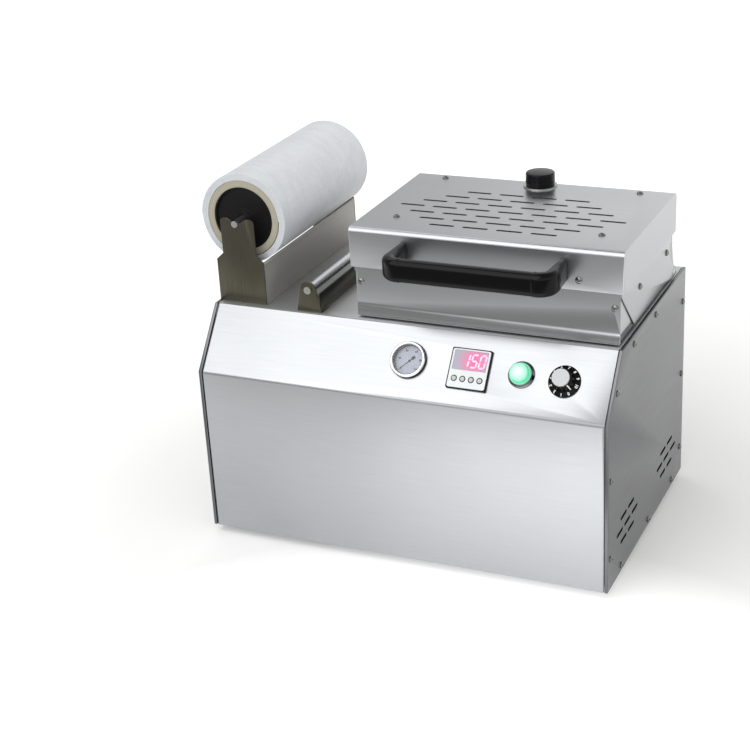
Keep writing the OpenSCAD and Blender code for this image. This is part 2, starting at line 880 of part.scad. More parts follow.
module at_frame_screws() for (x = [frame_l + frame_screw_in, frame_r - frame_screw_in])
    translate([x, frame_f, cover_z - frame_screw_down]) children();

module hood_frame() color("lightgray") in_frame() difference() {
    union() {
        difference() {
            span([frame_l, frame_f, ledge_z], [frame_r, frame_b, frame_top]);
            span([frame_l + frame_t, frame_f + frame_t, ledge_z - over],
                 [frame_r - frame_t, frame_b - frame_t, roof_z]);
        }
        difference() {
            span([frame_l, frame_f, ledge_z], [frame_r, frame_b, ledge_z + frame_t]);
            span([frame_l + ledge_w, frame_f + ledge_w, ledge_z - over],
                 [frame_r - ledge_w, frame_b - ledge_w, ledge_z + frame_t + over]);
        }
        along_x(frame_l, frame_w) polygon([
            [frame_f + frame_t, deck_z + lip_h + frame_t], [frame_f, deck_z + lip_h + frame_t],
            [frame_f - lip_out, deck_z + lip_h - frame_t], [frame_f - lip_out, deck_z + frame_front_gap],
            [frame_f + frame_t - lip_out, deck_z + frame_front_gap],
            [frame_f + frame_t, ledge_z + frame_t]]);
    }
    translate([hood_cx, knob_y, roof_z - over])
        cylinder(d = valve_stem + 4 * fit, h = frame_t + 2 * over);
    at_posts() translate([0, 0, roof_z - over]) cylinder(d = screw_hole, h = frame_t + 2 * over);
    at_frame_screws() rotate([90, 0, 0]) cylinder(d = screw_hole, h = 4 * frame_t, center = true);
    for (x = [frame_l, frame_r]) at_arm_screws() translate([x, 0, 0]) rotate([0, 90, 0])
        cylinder(d = screw_hole, h = 4 * frame_t, center = true);
}

module at_arm_screws() for (s = arm_screw_shares)
    translate([0, frame_f + s * frame_d, cover_z - frame_screw_down]) children();

module hood_arm(x) difference() {
    union() {
        along_x(x, arm_t) polygon([
            [frame_f, cover_z + cover_t], [frame_f, cover_z - frame_in],
            [frame_f + arm_cut, ledge_z], [rod_y, ledge_z],
            [frame_b + gap, cover_z - frame_screw_down], [frame_b, cover_z + cover_t]]);
        translate([x, rod_y, rod_z]) rotate([0, 90, 0]) cylinder(r = arm_r, h = arm_t);
        span([x, rod_y, rod_z], [x + arm_t, rod_y + heel_y, rod_z + heel_z]);
        along_x(x, arm_t) polygon([
            [frame_b - arm_cut / 2, ledge_z], [rod_y, rod_z - arm_r],
            [rod_y, rod_z + arm_r], [frame_b, cover_z - arm_cut / 2]]);
    }
    translate([x - over, rod_y, rod_z]) rotate([0, 90, 0])
        cylinder(d = rod_d + 2 * run, h = arm_t + 2 * over);
    at_arm_screws() translate([x + arm_t / 2, 0, 0]) rotate([0, 90, 0])
        cylinder(d = screw_hole, h = 2 * arm_t, center = true);
}

module hood_arms() color("silver") in_frame() {
    hood_arm(frame_l - arm_t);
    hood_arm(frame_r);
}

// The section of the grip, which its two ends carry round a corner
module grip_section() round_rect(grip_d, grip_h, grip_r);

module handle_grip() color("black") in_frame() translate([0, grip_y, grip_z])
    along_x(hood_cx - handle_w / 2 + handle_end, handle_w - 2 * handle_end) grip_section();

module at_handle_screws() for (x = [-1, 1], s = handle_screw_shares)
    translate([hood_cx + x * (handle_w / 2 - arm_splay - pad_w / 2), hood_f, grip_z + s * grip_h])
        children();

// One end of the handle: round a corner, and back along an arm that narrows to a pad on the cover
module handle_end(x) {
    translate([0, grip_y, grip_z]) along_x(x + corner_r, handle_end - corner_r) grip_section();
    translate([x + corner_r, corner_y, grip_z]) rotate([0, 0, 180])
        rotate_extrude(angle = 90) translate([corner_r - grip_d / 2, 0]) grip_section();
    intersection() {
        translate([x + grip_d / 2, 0, grip_z]) along_y(corner_y, hood_f - corner_y) grip_section();
        translate([x, 0, grip_z - grip_h / 2 - over]) linear_extrude(grip_h + 2 * over)
            polygon([[0, corner_y], [arm_splay, hood_f - pad_t], [arm_splay, hood_f + over],
                     [arm_splay + pad_w, hood_f + over], [arm_splay + pad_w, hood_f - pad_t],
                     [grip_d, corner_y]]);
    }
}

module handle_ends() color("black") in_frame() difference() {
    union() {
        handle_end(hood_cx - handle_w / 2);
        translate([2 * hood_cx, 0, 0]) mirror([1, 0, 0]) handle_end(hood_cx - handle_w / 2);
    }
    at_handle_screws() translate([0, over, 0]) rotate([90, 0, 0])
        cylinder(d = screw_d, h = screw_l + over);
}

module hood_seal() color("black") in_frame() difference() {
    span([frame_l + fit, frame_f + frame_t + fit, hood_seal_b], [frame_r - fit, frame_b - fit, ledge_z]);
    span([frame_l + ledge_w, frame_f + ledge_w, hood_seal_b - over],
         [frame_r - ledge_w, frame_b - ledge_w, ledge_z + over]);
}

// Heater under the hood's roof

module at_posts() for (x = [frame_l + heater_in + post_in, frame_r - heater_in - post_in],
                       y = [frame_f + heater_in + post_in, frame_b - heater_in - post_in])
    translate([x, y, 0]) children();

module heater_plate() color("silver") in_frame() difference() {
    span([frame_l + heater_in, frame_f + heater_in, heater_z],
         [frame_r - heater_in, frame_b - heater_in, heater_z + heater_t]);
    at_posts() translate([0, 0, heater_z - over]) cylinder(d = screw_d, h = heater_t + 2 * over);
}

// A tubular element laid back and forth on the plate
module heating_element() color("dimgray") in_frame() {
    run_l = frame_w - 2 * heater_in - 2 * element_in - element_pitch;
    z = heater_z + heater_t + element_d / 2;
    translate([hood_cx, (frame_f + frame_b) / 2, z]) for (i = [0:element_runs - 1]) {
        y = (i - (element_runs - 1) / 2) * element_pitch;
        side = i % 2 == 0 ? 1 : -1;
        translate([-run_l / 2, y, 0]) rotate([0, 90, 0]) cylinder(d = element_d, h = run_l);
        if (i < element_runs - 1)
            translate([side * run_l / 2, y + element_pitch / 2, 0]) rotate([0, 0, side * 90 - 180])
                rotate_extrude(angle = 180) translate([element_pitch / 2, 0]) circle(d = element_d);
    }
}

module insulation_board() color("beige") in_frame() difference() {
    span([frame_l + heater_in, frame_f + heater_in, board_z],
         [frame_r - heater_in, frame_b - heater_in, board_z + board_t]);
    at_posts() translate([0, 0, board_z - over]) cylinder(d = post_d + 2 * fit, h = board_t + 2 * over);
}

// Posts between the roof and the heater plate, with a collar under the board, and stand-offs above
module hood_posts() color("lightgray") in_frame() {
    at_posts() {
        translate([0, 0, heater_z + heater_t]) cylinder(d = post_d, h = roof_z - heater_z - heater_t);
        translate([0, 0, board_z - board_lift]) cylinder(d = 2 * post_d, h = board_lift);
    }
    at_top_screws() translate([0, 0, frame_top])
        ring(2 * screw_d, screw_d, cover_top - cover_t - frame_top);
}

module hood_screws() color("dimgray") in_frame() {
    at_top_screws() translate([0, 0, cover_top]) screw();
    at_face_screws() rotate([90, 0, 0]) screw(l = 2 * cover_t);
    at_frame_screws() rotate([90, 0, 0]) screw(hd = frame_head_d);
    at_handle_screws() translate([0, cover_t, 0]) rotate([-90, 0, 0]) screw(hh = cover_t);
    at_arm_screws() {
        translate([frame_r + arm_t, 0, 0]) rotate([0, 90, 0]) screw(l = 2 * frame_t, hh = head_h / 2);
        translate([frame_l - arm_t, 0, 0]) rotate([0, -90, 0]) screw(l = 2 * frame_t, hh = head_h / 2);
    }
}

// Vent valve through the rear of the cover

module vent_valve() color("lightgray") in_frame() translate([hood_cx, knob_y, 0]) difference() {
    union() {
        translate([0, 0, frame_top]) cylinder(d = valve_d, h = cover_top - frame_top);
        translate([0, 0, cover_top]) cylinder(d = valve_flange_d, h = valve_flange_h);
    }
    translate([0, 0, frame_top - over])
        cylinder(d = valve_stem + 2 * run, h = cover_top + valve_flange_h - frame_top + 2 * over);
}

module vent_knob() color("black") in_frame() translate([hood_cx, knob_y, 0]) {
    low = cover_top + valve_flange_h + knob_gap;
    edge = cover_top + knob_h - knob_edge;
    translate([0, 0, low]) cylinder(d = knob_d, h = edge - low);
    translate([0, 0, edge]) cylinder(d1 = knob_d, d2 = knob_d - 2 * knob_edge, h = knob_edge);
    translate([0, 0, roof_z]) cylinder(d = valve_stem, h = low - roof_z);
}

// Controls, in the panel's local frame

module gauge_case() color("silver") in_frame() on_panel(gauge_x, gauge_s) difference() {
    union() {
        translate([0, 0, -case_deep]) cylinder(r = case_r, h = case_deep + bezel_h - bezel_lip);
        translate([0, 0, -case_deep - stub_l]) cylinder(d = stub_d, h = stub_l + over);
    }
    translate([0, 0, -case_deep + case_wall])
        cylinder(r = case_r - case_wall, h = case_deep + bezel_h);
    translate([0, 0, -case_deep - stub_l - over]) cylinder(d = stub_d / 2, h = stub_l);
}

module gauge_bezel() color("lightgray") in_frame() on_panel(gauge_x, gauge_s) difference() {
    union() {
        cylinder(d = gauge_d, h = bezel_h - bezel_lip);
        translate([0, 0, bezel_h - bezel_lip])
            cylinder(d1 = gauge_d, d2 = gauge_d - bezel_lip, h = bezel_lip);
    }
    translate([0, 0, -over]) cylinder(r = case_r, h = bezel_h - bezel_lip + over);
    cylinder(r = case_r - bezel_in, h = bezel_h + over);
}

module gauge_dial() color("white") in_frame() on_panel(gauge_x, gauge_s)
    translate([0, 0, -dial_plate_deep - dial_plate_t]) {
        ring(2 * case_r - 2 * case_wall, 2 * needle_pin + 2 * run, dial_plate_t);
        translate([0, 0, dial_plate_deep + dial_plate_t - case_deep + case_wall])
            ring(stub_d, 2 * needle_pin + 2 * run,
                 case_deep - case_wall - dial_plate_deep - dial_plate_t);
    }

module gauge_lens() color([0.9, 0.95, 1, 0.4]) in_frame() on_panel(gauge_x, gauge_s)
    translate([0, 0, bezel_h - bezel_lip - lens_t])
        cylinder(r = case_r - case_wall - lens_gap, h = lens_t);

module gauge_needle() color("black") in_frame() on_panel(gauge_x, gauge_s)
    rotate([0, 0, needle_rest]) translate([0, 0, -dial_plate_deep]) {
        reach = case_r - case_wall;
        translate([0, 0, gap]) {
            cylinder(r = needle_hub, h = 2 * needle_t);
            translate([0, -needle_w / 2, 0]) cube([reach * needle_tip_share, needle_w, needle_t]);
            translate([-reach * needle_tail_share, -needle_w, 0])
                cube([reach * needle_tail_share, 2 * needle_w, needle_t]);
        }
        translate([0, 0, -2 * dial_plate_t]) cylinder(r = needle_pin, h = 2 * dial_plate_t + gap);
    }

module controller_body() color("black") in_frame() on_panel(ctrl_x, ctrl_s) difference() {
    union() {
        translate([0, 0, -ctrl_deep]) linear_extrude(ctrl_deep)
            square(ctrl_w - ctrl_case, center = true);
        linear_extrude(ctrl_lip) round_rect(ctrl_w, ctrl_w, ctrl_corner);
    }
    translate([0, window_y(), ctrl_lip - window_t]) linear_extrude(window_t + over)
        square([ctrl_w * window_w_share + 2 * fit, ctrl_w * window_h_share + 2 * fit], center = true);
    for (k = [0:3]) translate([key_x(k), -key_down, ctrl_lip - key_deep - key_travel - gap])
        cylinder(d = key_d + 2 * fit, h = key_deep + key_travel + gap + over);
}

// Middle of the controller's window above its centre, and X of key k
function window_y() = ctrl_w * window_up_share;
function key_x(k) = (k - 1.5) * key_pitch;

module controller_window() color("darkred") in_frame() on_panel(ctrl_x, ctrl_s)
    translate([0, window_y(), ctrl_lip - window_t]) linear_extrude(window_t)
        square([ctrl_w * window_w_share, ctrl_w * window_h_share], center = true);

module key(k) color("lightgray") in_frame() on_panel(ctrl_x, ctrl_s)
    translate([key_x(k), -key_down, ctrl_lip - key_deep]) cylinder(d = key_d, h = key_deep + key_out);

module key_1() key(0);
module key_2() key(1);
module key_3() key(2);
module key_4() key(3);

module button_bezel() color("gray") in_frame() on_panel(btn_x, btn_s) difference() {
    union() {
        cylinder(d1 = btn_d, d2 = btn_d - 2 * btn_cone, h = btn_h);
        translate([0, 0, -barrel_l]) cylinder(d = barrel_d, h = barrel_l + over);
        translate([0, 0, -sheet_t - ring_nut_h]) cylinder(d = ring_nut_d, h = ring_nut_h, $fn = 6);
    }
    translate([0, 0, -btn_skirt - btn_travel - gap]) cylinder(d = btn_cap_d + 2 * fit, h = barrel_l);
}

module button_cap() color("lightgreen") in_frame() on_panel(btn_x, btn_s) {
    translate([0, 0, -btn_skirt]) cylinder(d = btn_cap_d, h = btn_skirt + btn_h + btn_out);
    translate([0, 0, btn_h + btn_out]) intersection() {
        translate([0, 0, btn_dome - dome_r(btn_cap_d / 2, btn_dome)])
            sphere(r = dome_r(btn_cap_d / 2, btn_dome));
        cylinder(d = btn_cap_d, h = btn_dome + over);
    }
}

// Radius of the sphere whose cap has a given half width and height
function dome_r(r, h) = (r * r + h * h) / (2 * h);

module dial_potentiometer() color("goldenrod") in_frame() on_panel(dial_x, dial_s) difference() {
    union() {
        translate([0, 0, -sheet_t - pot_h]) cylinder(d = pot_d, h = pot_h);
        translate([0, 0, -sheet_t]) cylinder(d = bush_d, h = bush_l);
    }
    translate([0, 0, -pot_h]) cylinder(d = dial_axle + 2 * run, h = pot_h + bush_l);
}

module dial_knob() color("black") in_frame() on_panel(dial_x, dial_s) translate([0, 0, dial_gap])
    difference() {
        union() {
            cylinder(d1 = dial_d, d2 = dial_d - skirt_t, h = skirt_t);
            translate([0, 0, skirt_t]) cylinder(d1 = dial_body_d, d2 = dial_top_d, h = dial_body_h);
        }
        translate([0, 0, -over]) cylinder(d = bush_d + 4 * fit, h = bush_l + over);
        translate([0, 0, -over]) cylinder(d = dial_axle, h = dial_pocket + over);
    }

// The dial's shaft, with the silver disc that closes the knob's top
module dial_shaft() color("silver") in_frame() on_panel(dial_x, dial_s) {
    translate([0, 0, gap - pot_h]) cylinder(d = dial_axle, h = pot_h - gap + dial_gap + dial_pocket);
    translate([0, 0, dial_gap + skirt_t + dial_body_h]) cylinder(d = dial_cap_d, h = dial_cap_t);
}

// Film roll and its brackets

// The outline of a roll bracket in X and Z: foot, shoulders, neck and a notch for the shaft
module bracket_shape() difference() {
    union() {
        translate([roll_x - bracket_w / 2, deck_z]) square([bracket_w, shoulder_h]);
        polygon([
            [roll_x - bracket_w / 2, deck_z + shoulder_h],
            [roll_x + bracket_w / 2, deck_z + shoulder_h],
            [roll_x + neck_w / 2, deck_z + neck_start],
            [roll_x - neck_w / 2, deck_z + neck_start]]);
        translate([roll_x - neck_w / 2, deck_z + shoulder_h])
            dome_rect(neck_w, neck_top - deck_z - shoulder_h, tip_r);
    }
    translate([roll_x, roll_z]) circle(d = notch_d);
    polygon([[roll_x - notch_d / 2, roll_z], [roll_x + notch_d / 2, roll_z],
             [roll_x + notch_flare, neck_top + over], [roll_x - notch_flare, neck_top + over]]);
}

module roll_bracket_front() color("darkkhaki") in_frame() {
    along_y(bracket_y, bracket_t) bracket_shape();
    bracket_foot(bracket_y + bracket_t);
}

module roll_bracket_rear() color("darkkhaki") in_frame() {
    along_y(rear_bracket_y, bracket_t) bracket_shape();
    bracket_foot(rear_bracket_y - foot_w);
}

module bracket_foot(y) difference() {
    span([roll_x - bracket_w / 2 + bracket_t, y, deck_z],
         [roll_x + bracket_w / 2 - bracket_t - fit, y + foot_w, deck_z + bracket_t]);
    for (x = [-1, 1]) translate([roll_x + x * bracket_w / 4, y + foot_w / 2, deck_z - over])
        cylinder(d = screw_hole, h = bracket_t + 2 * over);
}

// The long wall between the two brackets, with a rolled top edge
module roll_wall() color("darkkhaki") in_frame() {
    x = roll_x + bracket_w / 2 - bracket_t;
    y0 = bracket_y + bracket_t;
    l = rear_bracket_y - y0;
    span([x, y0, deck_z], [x + bracket_t, y0 + l, deck_z + shoulder_h - wall_hem / 2]);
    translate([x + bracket_t / 2, y0, deck_z + shoulder_h - wall_hem / 2]) rotate([-90, 0, 0])
        cylinder(d = wall_hem, h = l);
}

module roll_shaft() color("lightgray") in_frame() translate([roll_x, bracket_y - shaft_over, roll_z])
    rotate([-90, 0, 0]) cylinder(d = shaft_d, h = reach_b - bracket_y + shaft_over);

module core_plugs() color("black") in_frame() for (y = [film_f, film_b - plug_l])
    translate([roll_x, y, roll_z]) rotate([-90, 0, 0]) ring(core_bore, shaft_d + 2 * run, plug_l);

module film_core() color("burlywood") in_frame() translate([roll_x, film_f, roll_z])
    rotate([-90, 0, 0]) ring(core_d, core_bore, film_w);

module film_roll() color("white") in_frame() translate([roll_x, film_f, roll_z])
    rotate([-90, 0, 0]) ring(film_d, core_d, film_w);

// Guide roller

module guide_shape() {
    polygon([[guide_x - guide_w / 2, deck_z], [guide_x + guide_w / 2, deck_z],
             [guide_x + guide_top_r, guide_z], [guide_x - guide_top_r, guide_z]]);
    translate([guide_x, guide_z]) circle(guide_top_r);
}

module guide_bracket(y, foot_y) difference() {
    union() {
        along_y(y, bracket_t) guide_shape();
        span([guide_x - guide_w / 2, foot_y, deck_z],
             [guide_x + guide_w / 2, foot_y + guide_foot, deck_z + bracket_t]);
    }
    translate([guide_x, y - over, guide_z]) rotate([-90, 0, 0])
        cylinder(d = guide_axle_d, h = bracket_t + 2 * over);
    for (x = [-1, 1]) at_guide_screws() translate([x * guide_screw_x, 0, deck_z - over])
        cylinder(d = screw_hole, h = bracket_t + 2 * over);
}

// The two brackets are the ends of one formed sheet, which stands up along the hood's side of the roller
module guide_brackets() color("silver") in_frame() {
    guide_bracket(guide_f, guide_f + bracket_t);
    guide_bracket(guide_b - bracket_t, guide_b - bracket_t - guide_foot);
    span([guide_x + guide_lip_out, guide_f, deck_z],
         [guide_x + guide_lip_out + bracket_t, guide_b, deck_z + guide_lip_h]);
}

module guide_axle() color("gray") in_frame() translate([guide_x, guide_f, guide_z]) rotate([-90, 0, 0]) {
    cylinder(d = guide_axle_d, h = guide_b - guide_f);
    translate([0, 0, -guide_head_h]) cylinder(d = guide_head_d, h = guide_head_h);
    translate([0, 0, guide_b - guide_f]) cylinder(d = guide_head_d, h = guide_head_h);
}

// A tube with a bushed end, so that only the ends run on the axle
module guide_tube() color("lightgray") in_frame() {
    y0 = guide_f + bracket_t + gap;
    l = guide_b - bracket_t - gap - y0;
    translate([guide_x, y0, guide_z]) rotate([-90, 0, 0]) {
        ring(guide_d, guide_d - 2 * guide_wall, l);
        for (z = [0, l - guide_d]) translate([0, 0, z])
            ring(guide_d - guide_wall, guide_axle_d + 2 * run, guide_d);
    }
}

// Vacuum pump

module pump_body() color("slategray") in_frame() translate([pump_x, pump_y, 0]) difference() {
    union() {
        span([-plate_w / 2, -plate_d / 2, pump_plate_z],
             [plate_w / 2, plate_d / 2, pump_plate_z + plate_t]);
        translate([-pump_side, 0, pump_axis_z]) rotate([0, 90, 0]) cylinder(d = motor_d, h = motor_l);
        span([mount_in - pump_side, -motor_d / 4, pump_plate_z],
             [pump_side - mount_in, motor_d / 4, pump_axis_z]);
        for (s = [-1, 1]) translate([s * (pump_side + head_w / 2), 0, pump_axis_z]) {
            rotate([0, 90, 0]) cylinder(d = head_round, h = head_w, center = true);
            cylinder(d = head_w - fin_over, h = head_round / 2 + barrel_h);
            for (k = [0:fin_count - 1])
                translate([0, 0, head_round / 2 + k * fin_pitch + fin_pitch / 2])
                    cylinder(d = head_w + 2 * fin_over, h = fin_t);
            translate([0, 0, head_round / 2 + fin_count * fin_pitch])
                cylinder(d = barrel_w - fin_over, h = barrel_h - fin_count * fin_pitch);
        }
    }
    translate([-pump_side - 2 * head_w, 0, pump_axis_z]) rotate([0, 90, 0])
        cylinder(d = pump_axle + 2 * run, h = motor_l + 4 * head_w);
    at_mounts() translate([0, 0, pump_plate_z - over]) cylinder(d = screw_hole, h = plate_t + 2 * over);
}

module at_mounts() for (x = [-1, 1], y = [-1, 1])
    translate([x * (plate_w / 2 - mount_in), y * (plate_d / 2 - mount_in), 0]) children();

// The pump's shaft with a fan on each end
module pump_shaft() color("dimgray") in_frame()
    translate([pump_x, pump_y, pump_axis_z]) rotate([0, 90, 0]) {
    reach = pump_side + head_w + fan_gap + fan_t;
    translate([0, 0, -reach]) cylinder(d = pump_axle, h = 2 * reach);
    for (s = [-1, 1]) translate([0, 0, s * (reach - fan_t / 2)]) {
        cylinder(r = fan_hub, h = fan_t, center = true);
        for (k = [0:fan_blades - 1]) rotate([0, 0, k * 360 / fan_blades])
            translate([fan_r / 2 + fan_hub / 4, 0, 0]) rotate([s * fan_lean, 0, 0])
                cube([fan_r - fan_hub / 2, fan_hub - 2 * fan_blade_t, fan_blade_t], center = true);
    }
}

module pump_mounts() color("black") in_frame() translate([pump_x, pump_y, 0]) at_mounts() {
    translate([0, 0, base_z + sheet_t]) cylinder(d = mount_d, h = mount_h);
    translate([0, 0, pump_plate_z]) cylinder(d = screw_d, h = plate_t + nut_h);
    translate([0, 0, pump_plate_z + plate_t]) ring(nut_d, screw_d, nut_h);
}

// Hose: up from the pump's head, across in two quarter bends, and up to the chamber's port
module vacuum_hose() color("dimgray") in_frame() {
    r = hose_bend;
    cross = chamber_port_x - pump_port_x - 2 * r;
    rise = chamber_port_b - pump_port_z - 2 * r;
    translate([pump_port_x, pump_y, pump_port_z]) rotate([90, 0, 0]) {
        translate([0, rise / 2, 0]) rotate([90, 0, 0]) cylinder(d = hose_d, h = rise / 2);
        translate([r, rise / 2, 0]) rotate([0, 0, 90]) rotate_extrude(angle = 90)
            translate([r, 0]) circle(d = hose_d);
        translate([r, rise / 2 + r, 0]) rotate([0, 90, 0]) cylinder(d = hose_d, h = cross);
        translate([r + cross, rise / 2 + 2 * r, 0]) rotate([0, 0, -90]) rotate_extrude(angle = 90)
            translate([r, 0]) circle(d = hose_d);
        translate([2 * r + cross, rise + 2 * r, 0]) rotate([90, 0, 0]) cylinder(d = hose_d, h = rise / 2);
    }
}

// Power unit in its case, with the heater's relay on a heat sink beside it
module power_unit() color("gainsboro") in_frame() {
    x = pump_x - plate_w / 2 - unit_gap - unit_w;
    z = base_z + sheet_t;
    difference() {
        span([x, unit_y - unit_d / 2, z], [x + unit_w, unit_y + unit_d / 2, z + unit_h]);
        for (i = [1:unit_w / unit_hole_pitch - 1], j = [1:unit_d / unit_hole_pitch - 1])
            translate([x + i * unit_hole_pitch, unit_y - unit_d / 2 + j * unit_hole_pitch,
                       z + unit_h - sheet_t])
                cylinder(d = unit_hole, h = sheet_t + over, $fn = 6);
    }
    ry = unit_y - unit_d / 2 - relay_gap - relay_d;
    span([x, ry, z + sink_h], [x + relay_w, ry + relay_d, z + sink_h + relay_h]);
    span([x, ry, z + sink_h - bracket_t], [x + relay_w, ry + relay_d, z + sink_h]);
    for (k = [0:floor(relay_w / fin_pitch)])
        span([x + k * fin_pitch, ry, z],
             [x + k * fin_pitch + fin_t, ry + relay_d, z + sink_h - bracket_t / 2]);
}

module at_inlet() translate([cab_l + inlet_in, cab_b, base_z + inlet_up]) rotate([-90, 0, 0]) children();

module power_inlet() color("black") in_frame() at_inlet() {
    difference() {
        union() {
            linear_extrude(inlet_flange_t)
                round_rect(inlet_flange_w, inlet_flange_h, 2 * inlet_flange_t);
            translate([0, 0, -inlet_deep]) linear_extrude(inlet_deep + inlet_flange_t)
                square([inlet_w, inlet_h], center = true);
        }
        translate([0, 0, -inlet_deep + inlet_wall]) linear_extrude(inlet_deep + inlet_flange_t)
            square([inlet_w - 2 * inlet_wall, inlet_h - 2 * inlet_wall], center = true);
    }
    for (k = [-1, 0, 1]) translate([k * pin_pitch, 0, -inlet_deep + inlet_wall])
        translate([-pin_w / 2, -pin_h / 2, 0]) cube([pin_w, pin_h, inlet_deep - 2 * inlet_wall]);
}

base_pan();
front_panel();
side_panel_right();
side_panel_left();
rear_panel();
deck_plate();
rubber_feet();
foot_screws();
cabinet_screws();
deck_screws();
chamber_pan();
chamber_seal();
tray_plate();
hinge_brackets();
hinge_rod();
gauge_case();
gauge_bezel();
gauge_dial();
gauge_lens();
gauge_needle();
controller_body();
controller_window();
key_1();
key_2();
key_3();
key_4();
button_bezel();
button_cap();
dial_potentiometer();
dial_knob();
dial_shaft();
roll_bracket_front();
roll_bracket_rear();
roll_wall();
roll_shaft();
core_plugs();
film_core();
film_roll();
guide_brackets();
guide_axle();
guide_tube();
hood_cover();
hood_frame();
hood_arms();
handle_grip();
handle_ends();
hood_seal();
heater_plate();
heating_element();
insulation_board();
hood_posts();
hood_screws();
vent_valve();
vent_knob();
pump_body();
pump_shaft();
pump_mounts();
vacuum_hose();
power_unit();
power_inlet();
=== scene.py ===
"""Dresses the vacuum skin packaging machine: its cabinet and controls, a hinged hood and a roll of film."""

import json
import logging
import math
from collections.abc import Iterable, Sequence
from dataclasses import dataclass
from enum import Enum

import bmesh
import bpy
from mathutils import Matrix, Vector

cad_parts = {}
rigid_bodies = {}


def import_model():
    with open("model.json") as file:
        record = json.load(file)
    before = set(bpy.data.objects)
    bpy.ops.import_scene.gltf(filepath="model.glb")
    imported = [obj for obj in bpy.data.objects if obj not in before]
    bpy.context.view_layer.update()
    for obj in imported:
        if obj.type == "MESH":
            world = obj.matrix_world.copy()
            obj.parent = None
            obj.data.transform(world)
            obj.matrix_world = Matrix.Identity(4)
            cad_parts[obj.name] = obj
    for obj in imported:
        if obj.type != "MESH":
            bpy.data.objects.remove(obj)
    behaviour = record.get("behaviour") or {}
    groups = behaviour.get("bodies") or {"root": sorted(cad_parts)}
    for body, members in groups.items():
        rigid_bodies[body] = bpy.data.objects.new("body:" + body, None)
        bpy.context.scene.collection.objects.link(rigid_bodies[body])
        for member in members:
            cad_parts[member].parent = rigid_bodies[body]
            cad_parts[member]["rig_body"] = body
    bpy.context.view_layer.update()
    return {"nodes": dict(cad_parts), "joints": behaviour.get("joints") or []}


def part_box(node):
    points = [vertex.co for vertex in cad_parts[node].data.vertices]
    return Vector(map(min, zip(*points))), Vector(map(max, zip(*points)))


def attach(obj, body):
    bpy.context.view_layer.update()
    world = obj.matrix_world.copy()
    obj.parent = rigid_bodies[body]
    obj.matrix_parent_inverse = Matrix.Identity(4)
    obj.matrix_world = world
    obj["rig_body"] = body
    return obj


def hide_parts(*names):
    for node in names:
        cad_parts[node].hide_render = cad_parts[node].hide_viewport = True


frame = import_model()

MM = 0.001
# Nearer points than this are one point: WELD in a CAD mesh, and HAIR in a form made here
WELD = 0.004 * MM
HAIR = 0.001 * MM
# A wider face than this is a sheet's broad side, and a narrower one belongs to a round or an edge
BROAD = 6 * MM
# Angles in radians between two faces of a CAD mesh. Below FLAT they are one face, and between FACET and ROUND
# they are steps of one round. Broad faces meet at a fold from FOLD up, and a cut edge is CUT or more.
FLAT, FACET, FOLD, ROUND, SHARP, CUT = (math.radians(turn) for turn in (0.4, 0.5, 20, 31, 46, 50))
LOG = logging.getLogger("machine")
JOINTS = {joint["name"]: joint for joint in frame["joints"]}

Colour = tuple[float, float, float, float]
Spot = tuple[float, float, float]
Outline = list[tuple[float, float]]
Seats = Sequence[tuple[Vector, Vector]]
Tree = bpy.types.NodeTree
Node = bpy.types.Node
Socket = bpy.types.NodeSocket
Piece = bpy.types.Object
Form = bmesh.types.BMesh


def linear(code: str) -> Colour:
    """Turns an sRGB colour into the linear light that the shaders work in.

    Args:
        code: The colour as #rrggbb.

    Returns:
        Red, green, blue and an alpha of 1.
    """
    shares = [int(code[i : i + 2], 16) / 255 for i in (1, 3, 5)]
    red, green, blue = (s / 12.92 if s <= 0.04045 else ((s + 0.055) / 1.055) ** 2.4 for s in shares)
    return red, green, blue, 1.0


def per(size: float) -> float:
    """The scale of a texture whose pattern is size mm wide."""
    return 1 / (size * MM)


def feed(tree: Tree, node: Node, inputs: dict) -> None:
    """Gives a node's inputs their values and links.

    Args:
        tree: The shader or geometry tree.
        node: The node.
        inputs: For each input, by name or number, a value, a socket to link from, or a node to link from by
            its first output in use. A list holds several of them.
    """
    for key, value in inputs.items():
        for one in value if isinstance(value, list) else [value]:
            if isinstance(one, Node):
                one = next(output for output in one.outputs if output.enabled)
            if isinstance(one, Socket):
                tree.links.new(one, node.inputs[key])
            else:
                node.inputs[key].default_value = one


def add(tree: Tree, kind: str, inputs: dict | None = None, **settings: object) -> Node:
    """Adds a node with its settings, its values and its links.

    Args:
        tree: The shader or geometry tree.
        kind: The node's type.
        inputs: What goes into its inputs, as feed() takes it.
        settings: The node's own properties.

    Returns:
        The new node.
    """
    node = tree.nodes.new(kind)
    for key, value in settings.items():
        setattr(node, key, value)
    feed(tree, node, inputs or {})
    return node


class Grain(Enum):
    """The way the brush, the drawing die or the winding went."""

    X = 0
    Y = 1
    Z = 2

    def stretch(self, length: float, width: float) -> Spot:
        """Scales of a pattern that is length mm long this way and width mm wide across it."""
        return tuple(per(length if axis is self else width) for axis in Grain)


